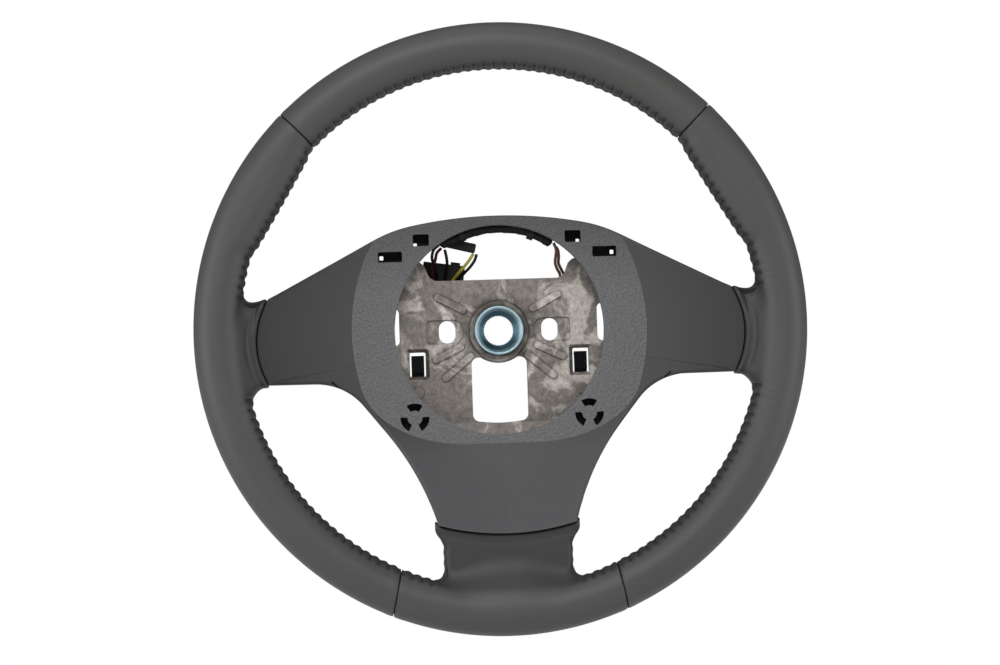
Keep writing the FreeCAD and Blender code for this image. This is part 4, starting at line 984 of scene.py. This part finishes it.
def tapedBundle():
    """Tube on an arc; its radius steps up at each lap of the tape: step * sawtooth(length / lap + turn)."""
    rows, sides = bundle["rows"], bundle["sides"]
    turn = np.radians(np.linspace(-bundle["half"], bundle["half"], rows))[:, None]
    around = np.linspace(0, 2 * math.pi, sides + 1)[:-1][None, :]
    length = turn * bundle["arc"]
    lap = (length / bundle["lap"] + around / (2 * math.pi)) % 1.0
    lump = bundle["lump"] * np.sin(length * 0.23 + 2 * around)
    closing = np.sqrt(np.clip((bundle["half"] - np.abs(np.degrees(turn))) / bundle["endRound"], 0.02, 1))
    radius = (bundle["radius"] + bundle["step"] * (0.5 - lap) + lump) * closing
    reach = bundle["arc"] + bundle["wander"] * np.sin(length * 0.11) + radius * np.cos(around)
    p = np.stack([reach * np.sin(turn), -bundle["depth"] + radius * np.sin(around), reach * np.cos(turn)], -1)
    faces = gridFaces(rows, sides, wrapColumns=True).tolist()
    faces += [list(range(sides)), (np.arange(sides)[::-1] + (rows - 1) * sides).tolist()]
    piece = makePiece("tapedBundle", p.reshape(-1, 3), faces)
    print("taped bundle faces", len(faces))
    return piece


bundlePiece = tapedBundle()
bundlePiece.data.materials.append(plasticMaterial("clothTape", "#050506", "#0c0c0d", 0.6, 0.5, 0.6))
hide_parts("trunk")


# Finishes of the nodes that keep their own shape

plastics = {
    "rim_foam": ("rimFoam", "#1d1d1d", "#262626", 0.9, 1.0, 0.6),
    "spoke_back": ("backCover", "#2c2c2d", "#343435", 0.6, 1.2, 0.4),
    "trunk_clip": ("clipNylon", "#101011", "#18181a", 0.5, 0.8, 0.2),
    "taped_plug": ("plugTape", "#060607", "#0d0d0e", 0.55, 1.4, 0.7),
    "connector_block": ("connectorNylon", "#08080a", "#101012", 0.5, 0.8, 0.2),
    "side_plug": ("plugNylon", "#0e0e10", "#17171a", 0.45, 0.8, 0.2),
    "wire_black": ("wireBlack", "#070708", "#0d0d0e", 0.4, 0.8, 0.1),
    "wire_red": ("wireRed", "#3a1211", "#5a1d1a", 0.35, 0.8, 0.1),
    "wire_yellow": ("wireYellow", "#8f8527", "#b3a53a", 0.35, 0.8, 0.1),
    "wire_brown": ("wireBrown", "#5a3f33", "#7d5949", 0.35, 0.8, 0.1),
}
metals = {
    "spoke_screw": ("screwZinc", "#8f8d84", "#bab7ad", 0.35),
    "cover_screw": ("coverScrewZinc", "#8f8d84", "#bab7ad", 0.35),
    "latch": ("blackSpring", "#0c0c0d", "#161617", 0.5),
    "latch_rivet": ("rivetAlloy", "#6d6661", "#8f8680", 0.5),
}
finishes = {"armature": castMaterial(), "hub_insert": zincMaterial()}
finishes |= {key: plasticMaterial(*look) for key, look in plastics.items()}
finishes |= {key: metalMaterial(*look) for key, look in metals.items()}
ownShape = [name for name in nodes if name not in {*panels, "front_cover", "trunk"}]
for nodeName in ownShape:
    finish = max((key for key in finishes if nodeName.startswith(key)), key=len)
    nodes[nodeName].data.materials.clear()
    nodes[nodeName].data.materials.append(finishes[finish])
print("finished nodes", len(ownShape))


# Studio: pale floor, white surround seen by the camera, soft lamps, camera where the photograph was taken

studio = {
    "floor": -620.0, "floorHalf": 8000.0, "surround": 0.2, "distance": 1500.0, "left": 67.0, "below": 50.0,
    "roll": 1.8, "centreX": -1.2, "centreZ": -2.7, "mmPerPixel": 0.6106, "width": 1000, "sensor": 36,
}


def seenBy(tree, *rays):
    """1 for rays of any of these kinds."""
    path = addNode(tree, "LightPath")
    seen = path.outputs["Is Camera Ray"]
    for ray in rays:
        seen = maths(tree, "MAXIMUM", seen, path.outputs["Is %s Ray" % ray])
    return seen


def makeFloor():
    """Pale floor that takes the shadow, plain white to the camera and in reflections."""
    half, height = studio["floorHalf"], studio["floor"]
    corners = [(-half, -half, height), (half, -half, height), (half, half, height), (-half, half, height)]
    floor = addObject("floor", newMesh("floor", corners, [(0, 1, 2, 3)]))
    material, tree, shader, _ = newMaterial("paleFloor")
    setInputs(tree, shader, Base_Color=linear("#dcdcdc"), Roughness=0.8)
    glow = addNode(tree, "Emission", None, Strength=1.0).outputs[0]
    mixed = addNode(tree, "MixShader", None, i0=seenBy(tree, "Glossy", "Transmission"),
                    i1=shader.outputs[0], i2=glow)
    out = next(node for node in tree.nodes if node.type == "OUTPUT_MATERIAL")
    setInputs(tree, out, i0=mixed.outputs[0])
    floor.data.materials.append(material)


def makeWorld():
    """Soft surround that the camera sees as white."""
    world = bpy.data.worlds.new("studio")
    bpy.context.scene.world = world
    world.use_nodes = True
    tree = world.node_tree
    tree.nodes.clear()
    soft, white = (addNode(tree, "Background", None, Color=(1, 1, 1, 1), Strength=strength).outputs[0]
                   for strength in (studio["surround"], 1.0))
    mixed = addNode(tree, "MixShader", None, i0=seenBy(tree, "Transmission"), i1=soft, i2=white)
    addNode(tree, "OutputWorld", None, i0=mixed.outputs[0])


def makeLamp(name, place, size, power):
    """Soft lamp in metres and watts, turned to the hub."""
    light = bpy.data.lights.new(name, "AREA")
    light.shape = "RECTANGLE"
    light.size, light.size_y = size
    light.energy = power
    lamp = addObject(name, light)
    lamp.location = place
    lamp.rotation_euler = (-Vector(place)).to_track_quat("-Z", "Y").to_euler()


def makeCamera():
    """Camera in front of the rim, a little left and low, turned about its own axis by the photo's roll."""
    rimY = -rim["forward"]
    place = Vector((-studio["left"], rimY - studio["distance"], -studio["below"])) * mm
    target = Vector((studio["centreX"], rimY, studio["centreZ"])) * mm
    camera = addObject("camera", bpy.data.cameras.new("camera"))
    look = (target - place).to_track_quat("-Z", "Y").to_matrix().to_4x4()
    roll = Matrix.Rotation(-math.radians(studio["roll"]), 4, "Z")
    camera.matrix_world = Matrix.Translation(place) @ look @ roll
    shown = studio["mmPerPixel"] * mm * studio["width"]
    camera.data.sensor_width = studio["sensor"]
    camera.data.lens = studio["sensor"] * (target - place).length / shown
    camera.data.clip_end = 50
    bpy.context.scene.camera = camera


makeFloor()
makeWorld()
makeLamp("key", (-0.3, -2.0, 1.4), (1.4, 1.1), 33)
makeLamp("left", (-1.7, -0.9, 0.15), (0.8, 1.2), 17)
makeLamp("right", (1.7, -0.9, 0.15), (0.8, 1.2), 14)
makeLamp("top", (0.0, -0.2, 2.0), (1.6, 0.8), 7)
makeCamera()
bpy.context.scene.view_settings.view_transform = "Standard"
print("studio ready")
